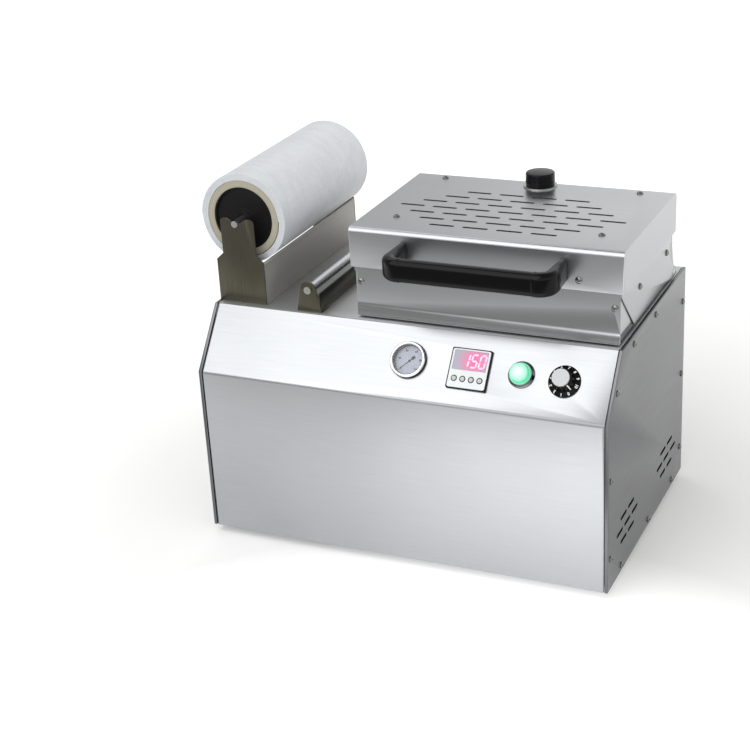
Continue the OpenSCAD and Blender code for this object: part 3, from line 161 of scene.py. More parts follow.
@dataclass(frozen=True)
class Finish:
    """A finish with its name, its colour and its roughness, and the shade that the colour falls to."""

    name: str
    colour: str
    roughness: float
    shade: str = "#000000"

    def make(self) -> bpy.types.Material:
        """Makes the material, or takes it again if another piece has it already.

        Returns:
            The material.
        """
        known = bpy.data.materials.get(self.name)
        if known is not None:
            return known
        made = bpy.data.materials.new(self.name)
        made.use_nodes = True
        tree = made.node_tree
        shader = tree.nodes["Principled BSDF"]
        feed(tree, shader, {"Base Color": linear(self.colour), "Roughness": self.roughness})
        feed(tree, shader, self.dress(tree, add(tree, "ShaderNodeTexCoord").outputs["Object"]))
        return made

    def ends(self) -> dict:
        """The shade and the colour, as a Mix node takes them."""
        return {6: linear(self.shade), 7: linear(self.colour)}

    def dress(self, tree: Tree, place: Socket) -> dict:
        """Adds what the real finish shows beyond one plain colour.

        Args:
            tree: The material's tree.
            place: Object coordinates, in metres.

        Returns:
            What goes into the shader.
        """
        raise NotImplementedError


@dataclass(frozen=True)
class BrushedStainless(Finish):
    """Stainless sheet with a No. 4 finish, brushed with a 180-grit belt.

    The belt's lines are 0.1 mm wide and 40 to 80 mm long. The eye sees them as a soft grain that smears a
    reflection across itself. They are drawn 0.5 mm wide, because finer ones don't show at this size.
    """

    grain: Grain = Grain.X
    line: float = 0.5
    length: float = 60
    cloud: float = 160
    depth: float = 0.015
    spread: float = 0.02

    def dress(self, tree: Tree, place: Socket) -> dict:
        """Adds the belt's lines, and the faint clouds that wiping leaves.

        Args:
            tree: The material's tree.
            place: Object coordinates, in metres.

        Returns:
            What goes into the shader.
        """
        brushed = {"Vector": place, "Scale": self.grain.stretch(self.length, self.line)}
        along = add(tree, "ShaderNodeMapping", brushed)
        lines = add(tree, "ShaderNodeTexNoise", {"Vector": along, "Scale": 1.0, "Detail": 2.0})
        clouds = add(tree, "ShaderNodeTexNoise", {"Vector": place, "Scale": per(self.cloud), "Detail": 1.0})
        both = add(tree, "ShaderNodeMath", {0: clouds, 1: 0.5, 2: lines}, operation="MULTIPLY_ADD")
        middle = {"Value": both, "From Min": 0.5, "From Max": 1.0}
        share = add(tree, "ShaderNodeMapRange", middle)
        dull, keen = self.roughness + self.spread, self.roughness - self.spread
        scratch = {"Height": lines, "Strength": self.depth, "Distance": 0.1 * MM}
        return {
            "Metallic": 1.0,
            "Base Color": add(tree, "ShaderNodeMix", {0: share, **self.ends()}, data_type="RGBA"),
            "Roughness": add(tree, "ShaderNodeMapRange", {**middle, "To Min": dull, "To Max": keen}),
            "Normal": add(tree, "ShaderNodeBump", scratch),
        }


@dataclass(frozen=True)
class PolishedSteel(Finish):
    """Chromed or buffed steel: a clear reflection, dulled a little by hairline scratches 0.9 mm apart."""

    hair: float = 0.9

    def dress(self, tree: Tree, place: Socket) -> dict:
        """Adds the hairlines in the roughness.

        Args:
            tree: The material's tree.
            place: Object coordinates, in metres.

        Returns:
            What goes into the shader.
        """
        fine = {"Vector": place, "Scale": per(self.hair), "Detail": 4.0, "Distortion": 0.6}
        hairs = add(tree, "ShaderNodeTexNoise", fine)
        keen, dull = self.roughness * 0.6, self.roughness * 1.5
        gloss = {"Value": hairs, "From Min": 0.3, "From Max": 0.7, "To Min": keen, "To Max": dull}
        return {"Metallic": 1.0, "Roughness": add(tree, "ShaderNodeMapRange", gloss)}


@dataclass(frozen=True)
class PlatedSteel(Finish):
    """Zinc-plated or machined steel and brass: satin, with blotches of 2 mm where the plating is thicker."""

    blotch: float = 2.0

    def dress(self, tree: Tree, place: Socket) -> dict:
        """Adds the blotches to the colour and the roughness.

        Args:
            tree: The material's tree.
            place: Object coordinates, in metres.

        Returns:
            What goes into the shader.
        """
        spots = add(tree, "ShaderNodeTexNoise", {"Vector": place, "Scale": per(self.blotch), "Detail": 3.0})
        keen, dull = self.roughness - 0.08, self.roughness + 0.1
        return {
            "Metallic": 1.0,
            "Base Color": add(tree, "ShaderNodeMix", {0: spots, **self.ends()}, data_type="RGBA"),
            "Roughness": add(tree, "ShaderNodeMapRange", {"Value": spots, "To Min": keen, "To Max": dull}),
        }


@dataclass(frozen=True)
class Moulded(Finish):
    """Moulded plastic or rubber: the tool's grain, of grain mm, shows as a fine unevenness in the gloss."""

    grain: float = 0.6
    sink: float = 12
    depth: float = 0.1
    spread: float = 0.06
    ior: float = 1.54
    gloss: float = 0.5

    def dress(self, tree: Tree, place: Socket) -> dict:
        """Adds the tool's grain, and slow waves of sink mm in the gloss where the plastic has sunk.

        Args:
            tree: The material's tree.
            place: Object coordinates, in metres.

        Returns:
            What goes into the shader.
        """
        fine = add(tree, "ShaderNodeTexNoise", {"Vector": place, "Scale": per(self.grain), "Detail": 2.0})
        slow = add(tree, "ShaderNodeTexNoise", {"Vector": place, "Scale": per(self.sink), "Detail": 1.0})
        keen, dull = max(0.02, self.roughness - self.spread), self.roughness + self.spread
        pores = {"Height": fine, "Strength": self.depth, "Distance": 0.05 * MM}
        return {
            "IOR": self.ior,
            "Specular IOR Level": self.gloss,
            "Base Color": add(tree, "ShaderNodeMix", {0: slow, **self.ends()}, data_type="RGBA"),
            "Roughness": add(tree, "ShaderNodeMapRange", {"Value": slow, "To Min": keen, "To Max": dull}),
            "Normal": add(tree, "ShaderNodeBump", pores),
        }


@dataclass(frozen=True)
class Wound(Finish):
    """Sheet wound on an axis along Y. Its end face shows the plies as rings, ply mm apart."""

    centre: Spot = (0, 0, 0)
    ply: float = 1

    def rings(self, tree: Tree, place: Socket) -> tuple[Node, Node]:
        """Adds the rings of the end face.

        Args:
            tree: The material's tree.
            place: Object coordinates, in metres.

        Returns:
            Coordinates from the roll's centre, and the rings.
        """
        back = tuple(-c for c in self.centre)
        centred = add(tree, "ShaderNodeMapping", {"Vector": place, "Location": back})
        flat = add(tree, "ShaderNodeVectorMath", {0: centred, 1: (1.0, 0.0, 1.0)}, operation="MULTIPLY")
        radius = add(tree, "ShaderNodeVectorMath", {0: flat}, operation="LENGTH")
        apart = {"W": radius, "Scale": per(self.ply), "Detail": 1.0}
        return centred, add(tree, "ShaderNodeTexNoise", apart, noise_dimensions="1D")


@dataclass(frozen=True)
class WoundFilm(Wound):
    """Polyethylene skin film, wound tight: each ply is clear, and a thousand of them together look milky.

    The plies are 0.1 mm thick. The end face shows them as rings, drawn 0.5 mm apart so that they show.
    """

    ply: float = 0.5
    speck: float = 3.5

    def dress(self, tree: Tree, place: Socket) -> dict:
        """Adds the milky speckle, the faint bands along the roll, and the rings of the end face.

        Args:
            tree: The material's tree.
            place: Object coordinates, in metres.

        Returns:
            What goes into the shader.
        """
        centred, rings = self.rings(tree, place)
        specks = add(tree, "ShaderNodeTexNoise", {"Vector": place, "Scale": per(self.speck), "Detail": 4.0})
        bands = add(tree, "ShaderNodeMapping", {"Vector": centred, "Scale": Grain.X.stretch(400, 14)})
        soft = add(tree, "ShaderNodeTexNoise", {"Vector": bands, "Scale": 1.0, "Detail": 2.0})
        mixed = add(tree, "ShaderNodeMath", {0: specks, 1: soft}, operation="ADD")
        share = add(tree, "ShaderNodeMapRange", {"Value": mixed, "From Min": 0.6, "From Max": 1.4})
        height = add(tree, "ShaderNodeMath", {0: rings, 1: specks}, operation="ADD")
        bump = {"Height": height, "Strength": 0.25, "Distance": 0.15 * MM}
        return {
            "IOR": 1.5,
            "Subsurface Weight": 0.25,
            "Subsurface Radius": (1.0, 1.0, 1.0),
            "Subsurface Scale": 4 * MM,
            "Base Color": add(tree, "ShaderNodeMix", {0: share, **self.ends()}, data_type="RGBA"),
            "Normal": add(tree, "ShaderNodeBump", bump),
        }


@dataclass(frozen=True)
class WoundCard(Wound):
    """Spiral-wound kraft board: khaki plies that run round the tube, with paper fibres of 0.8 mm."""

    ply: float = 0.9
    fibre: float = 0.8

    def dress(self, tree: Tree, place: Socket) -> dict:
        """Adds the fibres, the plies' edges on the end face and the darker glue line between them.

        Args:
            tree: The material's tree.
            place: Object coordinates, in metres.

        Returns:
            What goes into the shader.
        """
        _, rings = self.rings(tree, place)
        fibres = add(tree, "ShaderNodeTexNoise", {"Vector": place, "Scale": per(self.fibre), "Detail": 5.0})
        mixed = add(tree, "ShaderNodeMath", {0: rings, 1: fibres}, operation="ADD")
        share = add(tree, "ShaderNodeMapRange", {"Value": mixed, "From Min": 0.7, "From Max": 1.3})
        return {
            "Base Color": add(tree, "ShaderNodeMix", {0: share, **self.ends()}, data_type="RGBA"),
            "Normal": add(tree, "ShaderNodeBump", {"Height": mixed, "Strength": 0.4, "Distance": 0.2 * MM}),
        }


@dataclass(frozen=True)
class ClearGlass(Finish):
    """Float glass: clear, with a faint smear in its gloss."""

    smear: float = 9

    def dress(self, tree: Tree, place: Socket) -> dict:
        """Adds the smear.

        Args:
            tree: The material's tree.
            place: Object coordinates, in metres.

        Returns:
            What goes into the shader.
        """
        smear = add(tree, "ShaderNodeTexNoise", {"Vector": place, "Scale": per(self.smear), "Detail": 3.0})
        gloss = {"Value": smear, "To Min": self.roughness * 0.4, "To Max": self.roughness * 2}
        return {"Transmission Weight": 1.0, "IOR": 1.45, "Roughness": add(tree, "ShaderNodeMapRange", gloss)}


@dataclass(frozen=True)
class LitPlastic(Finish):
    """Tinted acrylic with a lamp behind it: it glows in its own colour, brightest over the lamp."""

    glow: str = "#ffffff"
    power: float = 0.3
    centre: Spot = (0, 0, 0)
    reach: float = 12
    cell: float = 1.5

    def dress(self, tree: Tree, place: Socket) -> dict:
        """Adds the glow, which fades over reach mm from the lamp, and a fine unevenness in the gloss.

        Args:
            tree: The material's tree.
            place: Object coordinates, in metres.

        Returns:
            What goes into the shader.
        """
        away = add(tree, "ShaderNodeVectorMath", {0: place, 1: self.centre}, operation="DISTANCE")
        fade = {"Value": away, "From Min": 0.0, "From Max": self.reach * MM, "To Min": 1.0, "To Max": 0.0}
        near = add(tree, "ShaderNodeMapRange", fade)
        cells = add(tree, "ShaderNodeTexNoise", {"Vector": place, "Scale": per(self.cell), "Detail": 1.0})
        light = {0: near, **self.ends(), 7: linear(self.glow)}
        gloss = {"Value": cells, "To Min": self.roughness * 0.6, "To Max": self.roughness * 1.5}
        return {
            "IOR": 1.49,
            "Emission Strength": self.power,
            "Base Color": add(tree, "ShaderNodeMix", {0: near, **self.ends()}, data_type="RGBA"),
            "Emission Color": add(tree, "ShaderNodeMix", light, data_type="RGBA"),
            "Roughness": add(tree, "ShaderNodeMapRange", gloss),
        }


SHEET = BrushedStainless("stainless_no4_along_x", "#b5b7ba", 0.3, "#acaeb1")
FRAME_SHEET = BrushedStainless("stainless_no4_hood_frame", "#aeb0b2", 0.24, "#a4a6a8")
# Painted shade: the same stainless as the front, darker, for the side panels, which face away from the light.
SIDE_SHEET_SHADED = BrushedStainless("stainless_no4_along_y_shaded", "#747577", 0.3, "#6a6b6d", grain=Grain.Y)
WALL_SHEET = BrushedStainless("stainless_no4_wall", "#c0bebb", 0.75, "#b2b0ad", grain=Grain.Y)
DECK_SHEET = BrushedStainless("stainless_no4_deck", "#c8c9ca", 0.5, "#babbbc")
BRACKET = BrushedStainless("stainless_dark_upright", "#5f5d51", 0.38, "#504e43", grain=Grain.Z, length=40)
LINER = BrushedStainless("stainless_2b_drawn", "#c9cacb", 0.28, "#b4b6b7", line=1.5, length=30)
CHROME = PolishedSteel("chromed_steel", "#dcdee0", 0.08)
DARK_CHROME = PolishedSteel("dark_chromed_brass", "#7a7c7f", 0.06)
BRIGHT_BAR = PolishedSteel("ground_steel_bar", "#cbccce", 0.26)
ZINC = PlatedSteel("zinc_plated_steel", "#c4c4c0", 0.34, "#8e8f8d")
SCREW = PlatedSteel("stainless_screw_head", "#9a9a98", 0.24, "#5d5d5b")
BRASS = PlatedSteel("turned_brass", "#c9a86a", 0.3, "#a98a50")
CAST = PlatedSteel("cast_aluminium", "#b9bbbd", 0.5, "#a0a2a4", blotch=1.2)
SPUN = PlatedSteel("spun_aluminium", "#dfe1e6", 0.3, "#bfc1c9", blotch=0.8)
GLOSS_BLACK = Moulded("phenolic_gloss_black", "#09090b", 0.14, "#0b0b0d", depth=0.03, spread=0.03, gloss=0.13)
MATT_BLACK = Moulded("abs_matt_black", "#08080a", 0.5, "#0d0d0f", gloss=0.18)
RUBBER = Moulded("nitrile_rubber", "#1f2021", 0.7, "#2a2b2c", grain=1.0, depth=0.2, ior=1.52)
SILICONE = Moulded("silicone_rubber_pale", "#c9c6bf", 0.55, "#bab6ad", grain=1.0, ior=1.41)
LABEL = Moulded("polycarbonate_label_pale", "#dfe3e3", 0.35, "#d6dbdc")
KEY_GREY = Moulded("silicone_key_grey", "#c3c8cb", 0.5, "#b4babe", ior=1.41)
WHITE_INK = Moulded("screen_ink_white", "#eeeeea", 0.5, "#e2e2de")
BLACK_INK = Moulded("screen_ink_black", "#060608", 0.5, "#0b0b0e", gloss=0.2)
ENAMEL = Moulded("enamelled_dial_face", "#c6cde0", 0.4, "#b9c1d6")
# Painted shade: the insulation board is black so that the cover's slots above it read dark, as the shade
# inside the hood would.
SLOT_SHADE_BOARD = Moulded("glass_fibre_board_painted_shade", "#232220", 0.85, "#2c2b28", grain=1.4, depth=0.5, gloss=0.2)
PAINT = Moulded("stoved_grey_paint", "#6f7478", 0.4, "#666b6f", grain=0.9, depth=0.3)
GLASS = ClearGlass("float_glass", "#ffffff", 0.02)


def as_object(name: str, data: bpy.types.ID) -> Piece:
    """Puts a mesh, a curve, a lamp or a camera in the scene under a name."""
    made = bpy.data.objects.new(name, data)
    bpy.context.scene.collection.objects.link(made)
    return made


def as_plain(source: Piece, name: str) -> Piece:
    """Turns an object with live modifiers, text or a curve into a plain mesh.

    Args:
        source: The object, which is removed.
        name: The plain object's name.

    Returns:
        The plain mesh object, at the origin.
    """
    bpy.context.view_layer.update()
    graph = bpy.context.evaluated_depsgraph_get()
    mesh = bpy.data.meshes.new_from_object(source.evaluated_get(graph), depsgraph=graph)
    bpy.data.objects.remove(source)
    mesh.name = name
    return as_object(name, mesh)


def welded(mesh: bpy.types.Mesh, reach: float) -> Form:
    """A form with a mesh's faces, in which near points are one.

    Args:
        mesh: The mesh.
        reach: How near they are, in metres.

    Returns:
        The form, which the caller frees.
    """
    form = bmesh.new()
    form.from_mesh(mesh)
    bmesh.ops.remove_doubles(form, verts=form.verts, dist=reach)
    return form


def cast(name: str, form: Form) -> Piece:
    """Makes a plain mesh object of a form.

    Args:
        name: The object's name.
        form: The form, which is freed.

    Returns:
        The object.
    """
    mesh = bpy.data.meshes.new(name)
    form.to_mesh(mesh)
    form.free()
    return as_object(name, mesh)


def box_of(points: Iterable[Vector]) -> tuple[Vector, Vector]:
    """The lowest and the highest corner of the box round some points."""
    columns = list(zip(*points))
    return Vector([min(column) for column in columns]), Vector([max(column) for column in columns])


def settle(piece: Piece, node: str, finish: Finish, stands_for: bool = True, smooth: float = 32) -> None:
    """Gives a finished piece its finish, its body and its slot, and reports it.

    Args:
        piece: A plain mesh object at the origin.
        node: The CAD node that it stands for, or sits on.
        finish: Its finish.
        stands_for: Whether the node is hidden and replaced by the piece.
        smooth: The angle in degrees past which an edge stays sharp, or 0 to leave the shading.
    """
    mesh = piece.data
    mesh.materials.clear()
    mesh.materials.append(finish.make())
    if smooth:
        mesh.shade_smooth()
        mesh.set_sharp_from_angle(angle=math.radians(smooth))
    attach(piece, frame["nodes"][node]["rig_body"])
    if stands_for:
        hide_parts(node)
    LOG.info("%s: %d faces, %s", piece.name, len(mesh.polygons), finish.name)


def keep(node: str, finish: Finish) -> None:
    """Gives a CAD node that is shown as it is its finish."""
    for place in frame["nodes"][node].material_slots:
        place.material = finish.make()
    LOG.info("%s: kept, %s", node, finish.name)


def breadth(face: bmesh.types.BMFace) -> float:
    """A face's area over its longest edge, in metres: how wide it is, if it's long."""
    return face.calc_area() / max(e.calc_length() for e in face.edges)


def softened(node: str, finish: Finish, edge: float = 0.35, least: float = 1.2, fold: float = 0.0) -> None:
    """Breaks the cut edges of a CAD node's form and rounds its folds, as a press brake leaves them.

    Args:
        node: The CAD node.
        finish: Its finish.
        edge: How wide the broken edges are, in mm.
        least: The shortest edge that is broken, in mm. The steps of a round hole are shorter and stay sharp.
        fold: How wide the folds between broad faces are, in mm.
    """
    form = welded(frame["nodes"][node].data, WELD)
    whole = {"use_dissolve_boundaries": False, "verts": form.verts, "edges": form.edges}
    bmesh.ops.dissolve_limit(form, angle_limit=FLAT, **whole)
    for angle, wide, offset, steps in ((FOLD, BROAD, fold, 5), (CUT, 0.0, edge, 2)):
        picked = [
            e
            for e in form.edges
            if e.is_manifold
            and e.calc_face_angle(0) > angle
            and e.calc_length() > max(least * MM, wide)
            and min(breadth(face) for face in e.link_faces) > wide
        ]
        if offset and picked:
            round_off = {"offset_type": "OFFSET", "segments": steps, "profile": 0.5, "affect": "EDGES"}
            bmesh.ops.bevel(form, geom=picked, offset=offset * MM, **round_off)
    for face in form.faces:
        turns = [e.calc_face_angle(0) for e in face.edges if e.is_manifold]
        face.smooth = breadth(face) < BROAD and any(FACET < turn < ROUND for turn in turns)
    piece = cast(node + "_piece", form)
    piece.data.set_sharp_from_angle(angle=SHARP)
    settle(piece, node, finish, smooth=0)


def turned(name: str, profile: Outline, place: Matrix, steps: int = 64) -> Piece:
    """A form turned on a lathe.

    Args:
        name: The object's name.
        profile: Radius and height of its outline in mm, from the axis or round a closed ring.
        place: Where its axis stands, in metres.
        steps: How many steps go round it.

    Returns:
        The plain mesh object.
    """
    form = bmesh.new()
    rim = [form.verts.new((r * MM, 0, z * MM)) for r, z in profile]
    lines = [form.edges.new(pair) for pair in zip(rim, rim[1:])]
    if profile[0][0] > 0:
        lines.append(form.edges.new((rim[-1], rim[0])))
    about = {"cent": (0, 0, 0), "axis": (0, 0, 1), "angle": math.tau, "use_merge": True}
    bmesh.ops.spin(form, geom=rim + lines, steps=steps, **about)
    bmesh.ops.remove_doubles(form, verts=form.verts, dist=HAIR)
    bmesh.ops.recalc_face_normals(form, faces=form.faces)
    piece = cast(name, form)
    piece.data.transform(place)
    return piece


def eased(corners: Sequence[Spot], steps: int = 4) -> Outline:
    """An outline whose corners are rounded.

    Args:
        corners: The two coordinates of each corner and its radius, in mm.
        steps: How many steps each rounded corner has.

    Returns:
        The rounded outline.
    """
    line: Outline = []
    for i, (a, b, radius) in enumerate(corners):
        if not radius or i in (0, len(corners) - 1):
            line.append((a, b))
            continue
        here = Vector((a, b))
        back = Vector(corners[i - 1][:2]) - here
        ahead = Vector(corners[i + 1][:2]) - here
        reach = min(radius, back.length * 0.49, ahead.length * 0.49)
        start, end = here + back.normalized() * reach, here + ahead.normalized() * reach
        for k in range(steps + 1):
            t = k / steps
            line.append(tuple(start * (1 - t) ** 2 + here * 2 * t * (1 - t) + end * t**2))
    return line


def round_corners(width: float, height: float, radius: float, steps: int = 5) -> Outline:
    """A rectangle with round corners about the origin.

    Args:
        width: Its width in mm.
        height: Its height in mm.
        radius: Its corners' radius in mm.
        steps: How many steps each corner has.

    Returns:
        Its outline.
    """
    line: Outline = []
    for turn, (sx, sy) in enumerate(((1, 1), (-1, 1), (-1, -1), (1, -1))):
        x, y = sx * (width / 2 - radius), sy * (height / 2 - radius)
        turns = [math.pi / 2 * (turn + k / steps) for k in range(steps + 1)]
        line += [(x + radius * math.cos(t), y + radius * math.sin(t)) for t in turns]
    return line


def disc(radius: float, at: tuple[float, float] = (0, 0), steps: int = 40) -> Outline:
    """A circle's outline, in mm."""
    turns = [math.tau * k / steps for k in range(steps)]
    return [(at[0] + radius * math.cos(t), at[1] + radius * math.sin(t)) for t in turns]


def stamped(name: str, outlines: Sequence[Outline], low: float, high: float, place: Matrix) -> Piece:
    """A flat plate cut to an outline, with holes where another outline lies in it.

    Args:
        name: The object's name.
        outlines: Its outline and its holes, in mm.
        low: The height of its underside in mm.
        high: The height of its face in mm.
        place: Where it lies, in metres.

    Returns:
        The plain mesh object.
    """
    curve = bpy.data.curves.new(name, "CURVE")
    curve.dimensions = "2D"
    curve.fill_mode = "BOTH"
    curve.extrude = (high - low) / 2 * MM
    for line in outlines:
        spline = curve.splines.new("POLY")
        spline.points.add(len(line) - 1)
        for point, (x, y) in zip(spline.points, line):
            point.co = (x * MM, y * MM, 0, 1)
        spline.use_cyclic_u = True
    piece = as_plain(as_object(name + "_curve", curve), name)
    form = welded(piece.data, HAIR)
    bmesh.ops.recalc_face_normals(form, faces=form.faces)
    form.to_mesh(piece.data)
    form.free()
    piece.data.transform(place @ Matrix.Translation((0, 0, (low + high) / 2 * MM)))
    return piece


def printed(
    name: str, words: str, size: float, place: Matrix, thick: float = 0.04, bold: float = 0.1
) -> Piece:
    """A number printed on a surface.

    Args:
        name: The object's name.
        words: The number.
        size: Its height in mm.
        place: Its middle, in metres.
        thick: The ink's thickness in mm.
        bold: How much wider each stroke is on either side, in mm.

    Returns:
        The plain mesh object.
    """
    curve = bpy.data.curves.new(name, "FONT")
    curve.body = words
    curve.size = size * MM
    curve.extrude = thick * MM
    curve.offset = bold * MM
    curve.align_x = "CENTER"
    curve.align_y = "CENTER"
    curve.resolution_u = 3
    piece = as_plain(as_object(name + "_text", curve), name)
    piece.data.transform(place)
    return piece


def joined(name: str, parts: Sequence[Piece]) -> Piece:
    """Joins plain mesh objects into one.

    Args:
        name: The new object's name.
        parts: The objects, which are removed.

    Returns:
        The joined object.
    """
    form = bmesh.new()
    for part in parts:
        form.from_mesh(part.data)
        bpy.data.objects.remove(part)
    return cast(name, form)


def lofted(name: str, rings: Sequence[Sequence[Vector]]) -> Piece:
    """A skin over a row of closed sections, with both ends closed.

    Args:
        name: The object's name.
        rings: The sections' points in metres, as many in each.

    Returns:
        The plain mesh object.
    """
    form = bmesh.new()
    rows = [[form.verts.new(point) for point in ring] for ring in rings]
    for low, high in zip(rows, rows[1:]):
        for k in range(len(low)):
            form.faces.new((low[k - 1], low[k], high[k], high[k - 1]))
    form.faces.new(rows[0])
    form.faces.new(rows[-1])
    bmesh.ops.recalc_face_normals(form, faces=form.faces)
    return cast(name, form)


class Growth:
    """A Geometry Nodes tree with named inputs, which is run once for each piece and leaves a plain mesh."""

    def __init__(self, name: str, measures: Sequence[str], counts: Sequence[str]) -> None:
        """Starts the tree.

        Args:
            name: Its name.
            measures: The names of the inputs that take a length, an angle or a share.
            counts: The names of those that take a whole number.
        """
        self.tree = bpy.data.node_groups.new(name, "GeometryNodeTree")
        kinds = {"Places": "Geometry", **dict.fromkeys(measures, "Float"), **dict.fromkeys(counts, "Int")}
        for key, kind in {**kinds, "Finish": "Material"}.items():
            self.tree.interface.new_socket(name=key, in_out="INPUT", socket_type="NodeSocket" + kind)
        self.tree.interface.new_socket(name="Grown", in_out="OUTPUT", socket_type="NodeSocketGeometry")
        self.sizes = self.tree.nodes.new("NodeGroupInput").outputs

    def add(self, kind: str, inputs: dict | None = None, **settings: object) -> Node:
        """Adds a node to this tree, as add() does."""
        return add(self.tree, kind, inputs, **settings)

    def end(self, geometry: Node) -> None:
        """Ends the tree: its instances are made real and take the finish.

        Args:
            geometry: What has grown.
        """
        real = self.add("GeometryNodeRealizeInstances", {0: geometry})
        dressed = self.add("GeometryNodeSetMaterial", {"Geometry": real, "Material": self.sizes["Finish"]})
        self.add("NodeGroupOutput", {"Grown": dressed})

    def run(self, name: str, values: dict, finish: Finish, seats: Seats = ()) -> Piece:
        """Runs the tree.

        Args:
            name: The grown piece's name.
            values: Each input's value.
            finish: Its finish.
            seats: The points that it grows on, in metres, each with the way it faces.

        Returns:
            The plain mesh object.
        """
        mesh = bpy.data.meshes.new(name + "_places")
        mesh.from_pydata([point for point, _ in seats], [], [])
        facing = mesh.attributes.new("facing", "FLOAT_VECTOR", "POINT")
        facing.data.foreach_set("vector", [c for _, way in seats for c in way])
        seed = as_object(name + "_places", mesh)
        mod = seed.modifiers.new("growth", "NODES")
        mod.node_group = self.tree
        given = {**values, "Finish": finish.make()}
        for item in self.tree.interface.items_tree:
            if item.in_out == "INPUT" and item.name in given:
                mod[item.identifier] = given[item.name]
        return as_plain(seed, name)


def seats_of(node: str) -> Seats:
    """Where the heads of a CAD node's screws sit: the middle of each head's underside, and the way it faces.

    Args:
        node: A CAD node of loose screws that lie along X, Y or Z.

    Returns:
        The seats.
    """
    form = welded(frame["nodes"][node].data, WELD)
    left, seats = set(form.verts), []
    while left:
        stack, island = [left.pop()], []
        while stack:
            vert = stack.pop()
            island.append(vert.co.copy())
            for edge in vert.link_edges:
                other = edge.other_vert(vert)
                if other in left:
                    left.discard(other)
                    stack.append(other)
        low, high = box_of(island)
        size, middle = high - low, (low + high) / 2
        axis = min(range(3), key=lambda i: abs(size[i - 1] - size[i - 2]))
        wide = max(island, key=lambda p: sum((p[i] - middle[i]) ** 2 for i in range(3) if i != axis))
        facing = Vector((0, 0, 0))
        facing[axis] = 1.0 if wide[axis] > middle[axis] else -1.0
        middle[axis] = wide[axis]
        seats.append((middle, facing))
    form.free()
    return sorted(seats, key=lambda seat: tuple(round(c, 5) for c in seat[0]))


def screw_growth() -> Growth:
    """The tree of pan-head screws with a cross recess, each turned by chance as a driver leaves it."""
    measures = ("Head diameter", "Head height", "Shank diameter", "Shank length", "Recess")
    grown = Growth("pan_head_screws", measures, ("Seed",))
    size = grown.sizes
    high, recess = size["Head height"], size["Recess"]
    radius = grown.add("ShaderNodeMath", {0: size["Head diameter"], 1: 0.5}, operation="MULTIPLY")
    steps = {"Vertices": 28, "Side Segments": 2, "Fill Segments": 5}
    head = grown.add("GeometryNodeMeshCylinder", {**steps, "Radius": radius, "Depth": high})
    spot = grown.add("GeometryNodeInputPosition")
    x, y, z = grown.add("ShaderNodeSeparateXYZ", {0: spot}).outputs
    flat = grown.add("ShaderNodeCombineXYZ", {0: x, 1: y})
    away = grown.add("ShaderNodeVectorMath", {0: flat}, operation="LENGTH")
    share = grown.add("ShaderNodeMath", {0: away, 1: radius}, operation="DIVIDE")
    steep = grown.add("ShaderNodeMath", {0: share, 1: 3.0}, operation="POWER")
    drop = grown.add("ShaderNodeMath", {0: steep, 1: high}, operation="MULTIPLY")
    on_top = grown.add("ShaderNodeMath", {0: z, 1: 0.01 * MM}, operation="GREATER_THAN")
    part = grown.add("ShaderNodeMath", {0: on_top, 1: -0.5}, operation="MULTIPLY")
    fall = grown.add("ShaderNodeMath", {0: drop, 1: part}, operation="MULTIPLY")
    half = grown.add("ShaderNodeMath", {0: high, 1: 0.5}, operation="MULTIPLY")
    lift = grown.add("ShaderNodeMath", {0: half, 1: fall}, operation="ADD")
    shift = grown.add("ShaderNodeCombineXYZ", {2: lift})
    domed = grown.add("GeometryNodeSetPosition", {"Geometry": head, "Offset": shift})
    thin = grown.add("ShaderNodeMath", {0: recess, 1: 0.2}, operation="MULTIPLY")
    deep = grown.add("ShaderNodeMath", {0: high, 1: 1.1}, operation="MULTIPLY")
    up = grown.add("ShaderNodeCombineXYZ", {2: high})
    bars = []
    for long_side, short_side in ((recess, thin), (thin, recess)):
        block = grown.add("ShaderNodeCombineXYZ", {0: long_side, 1: short_side, 2: deep})
        cube = grown.add("GeometryNodeMeshCube", {"Size": block})
        bars.append(grown.add("GeometryNodeTransform", {"Geometry": cube, "Translation": up}))
    exact = {"operation": "DIFFERENCE", "solver": "EXACT"}
    cut = grown.add("GeometryNodeMeshBoolean", {"Mesh 1": domed, "Mesh 2": bars}, **exact)
    shank_r = grown.add("ShaderNodeMath", {0: size["Shank diameter"], 1: 0.5}, operation="MULTIPLY")
    bar = {"Vertices": 16, "Radius": shank_r, "Depth": size["Shank length"]}
    shank = grown.add("GeometryNodeMeshCylinder", bar)
    sunk = grown.add("ShaderNodeMath", {0: size["Shank length"], 1: -0.5}, operation="MULTIPLY")
    down = grown.add("ShaderNodeCombineXYZ", {2: sunk})
    lowered = grown.add("GeometryNodeTransform", {"Geometry": shank, "Translation": down})
    whole = grown.add("GeometryNodeJoinGeometry", {0: [cut, lowered]})
    facing = grown.add("GeometryNodeInputNamedAttribute", {"Name": "facing"}, data_type="FLOAT_VECTOR")
    upright = grown.add("FunctionNodeAlignRotationToVector", {"Vector": facing}, axis="Z")
    full_turn = {2: 0.0, 3: math.tau, "Seed": size["Seed"]}
    spin = grown.add("FunctionNodeRandomValue", full_turn, data_type="FLOAT")
    about = grown.add("ShaderNodeCombineXYZ", {2: spin})
    angle = grown.add("FunctionNodeEulerToRotation", {0: about})
    turn = grown.add("FunctionNodeRotateRotation", {0: upright, 1: angle}, rotation_space="LOCAL")
    each = {"Points": size["Places"], "Instance": whole, "Rotation": turn}
    grown.end(grown.add("GeometryNodeInstanceOnPoints", each))
    return grown


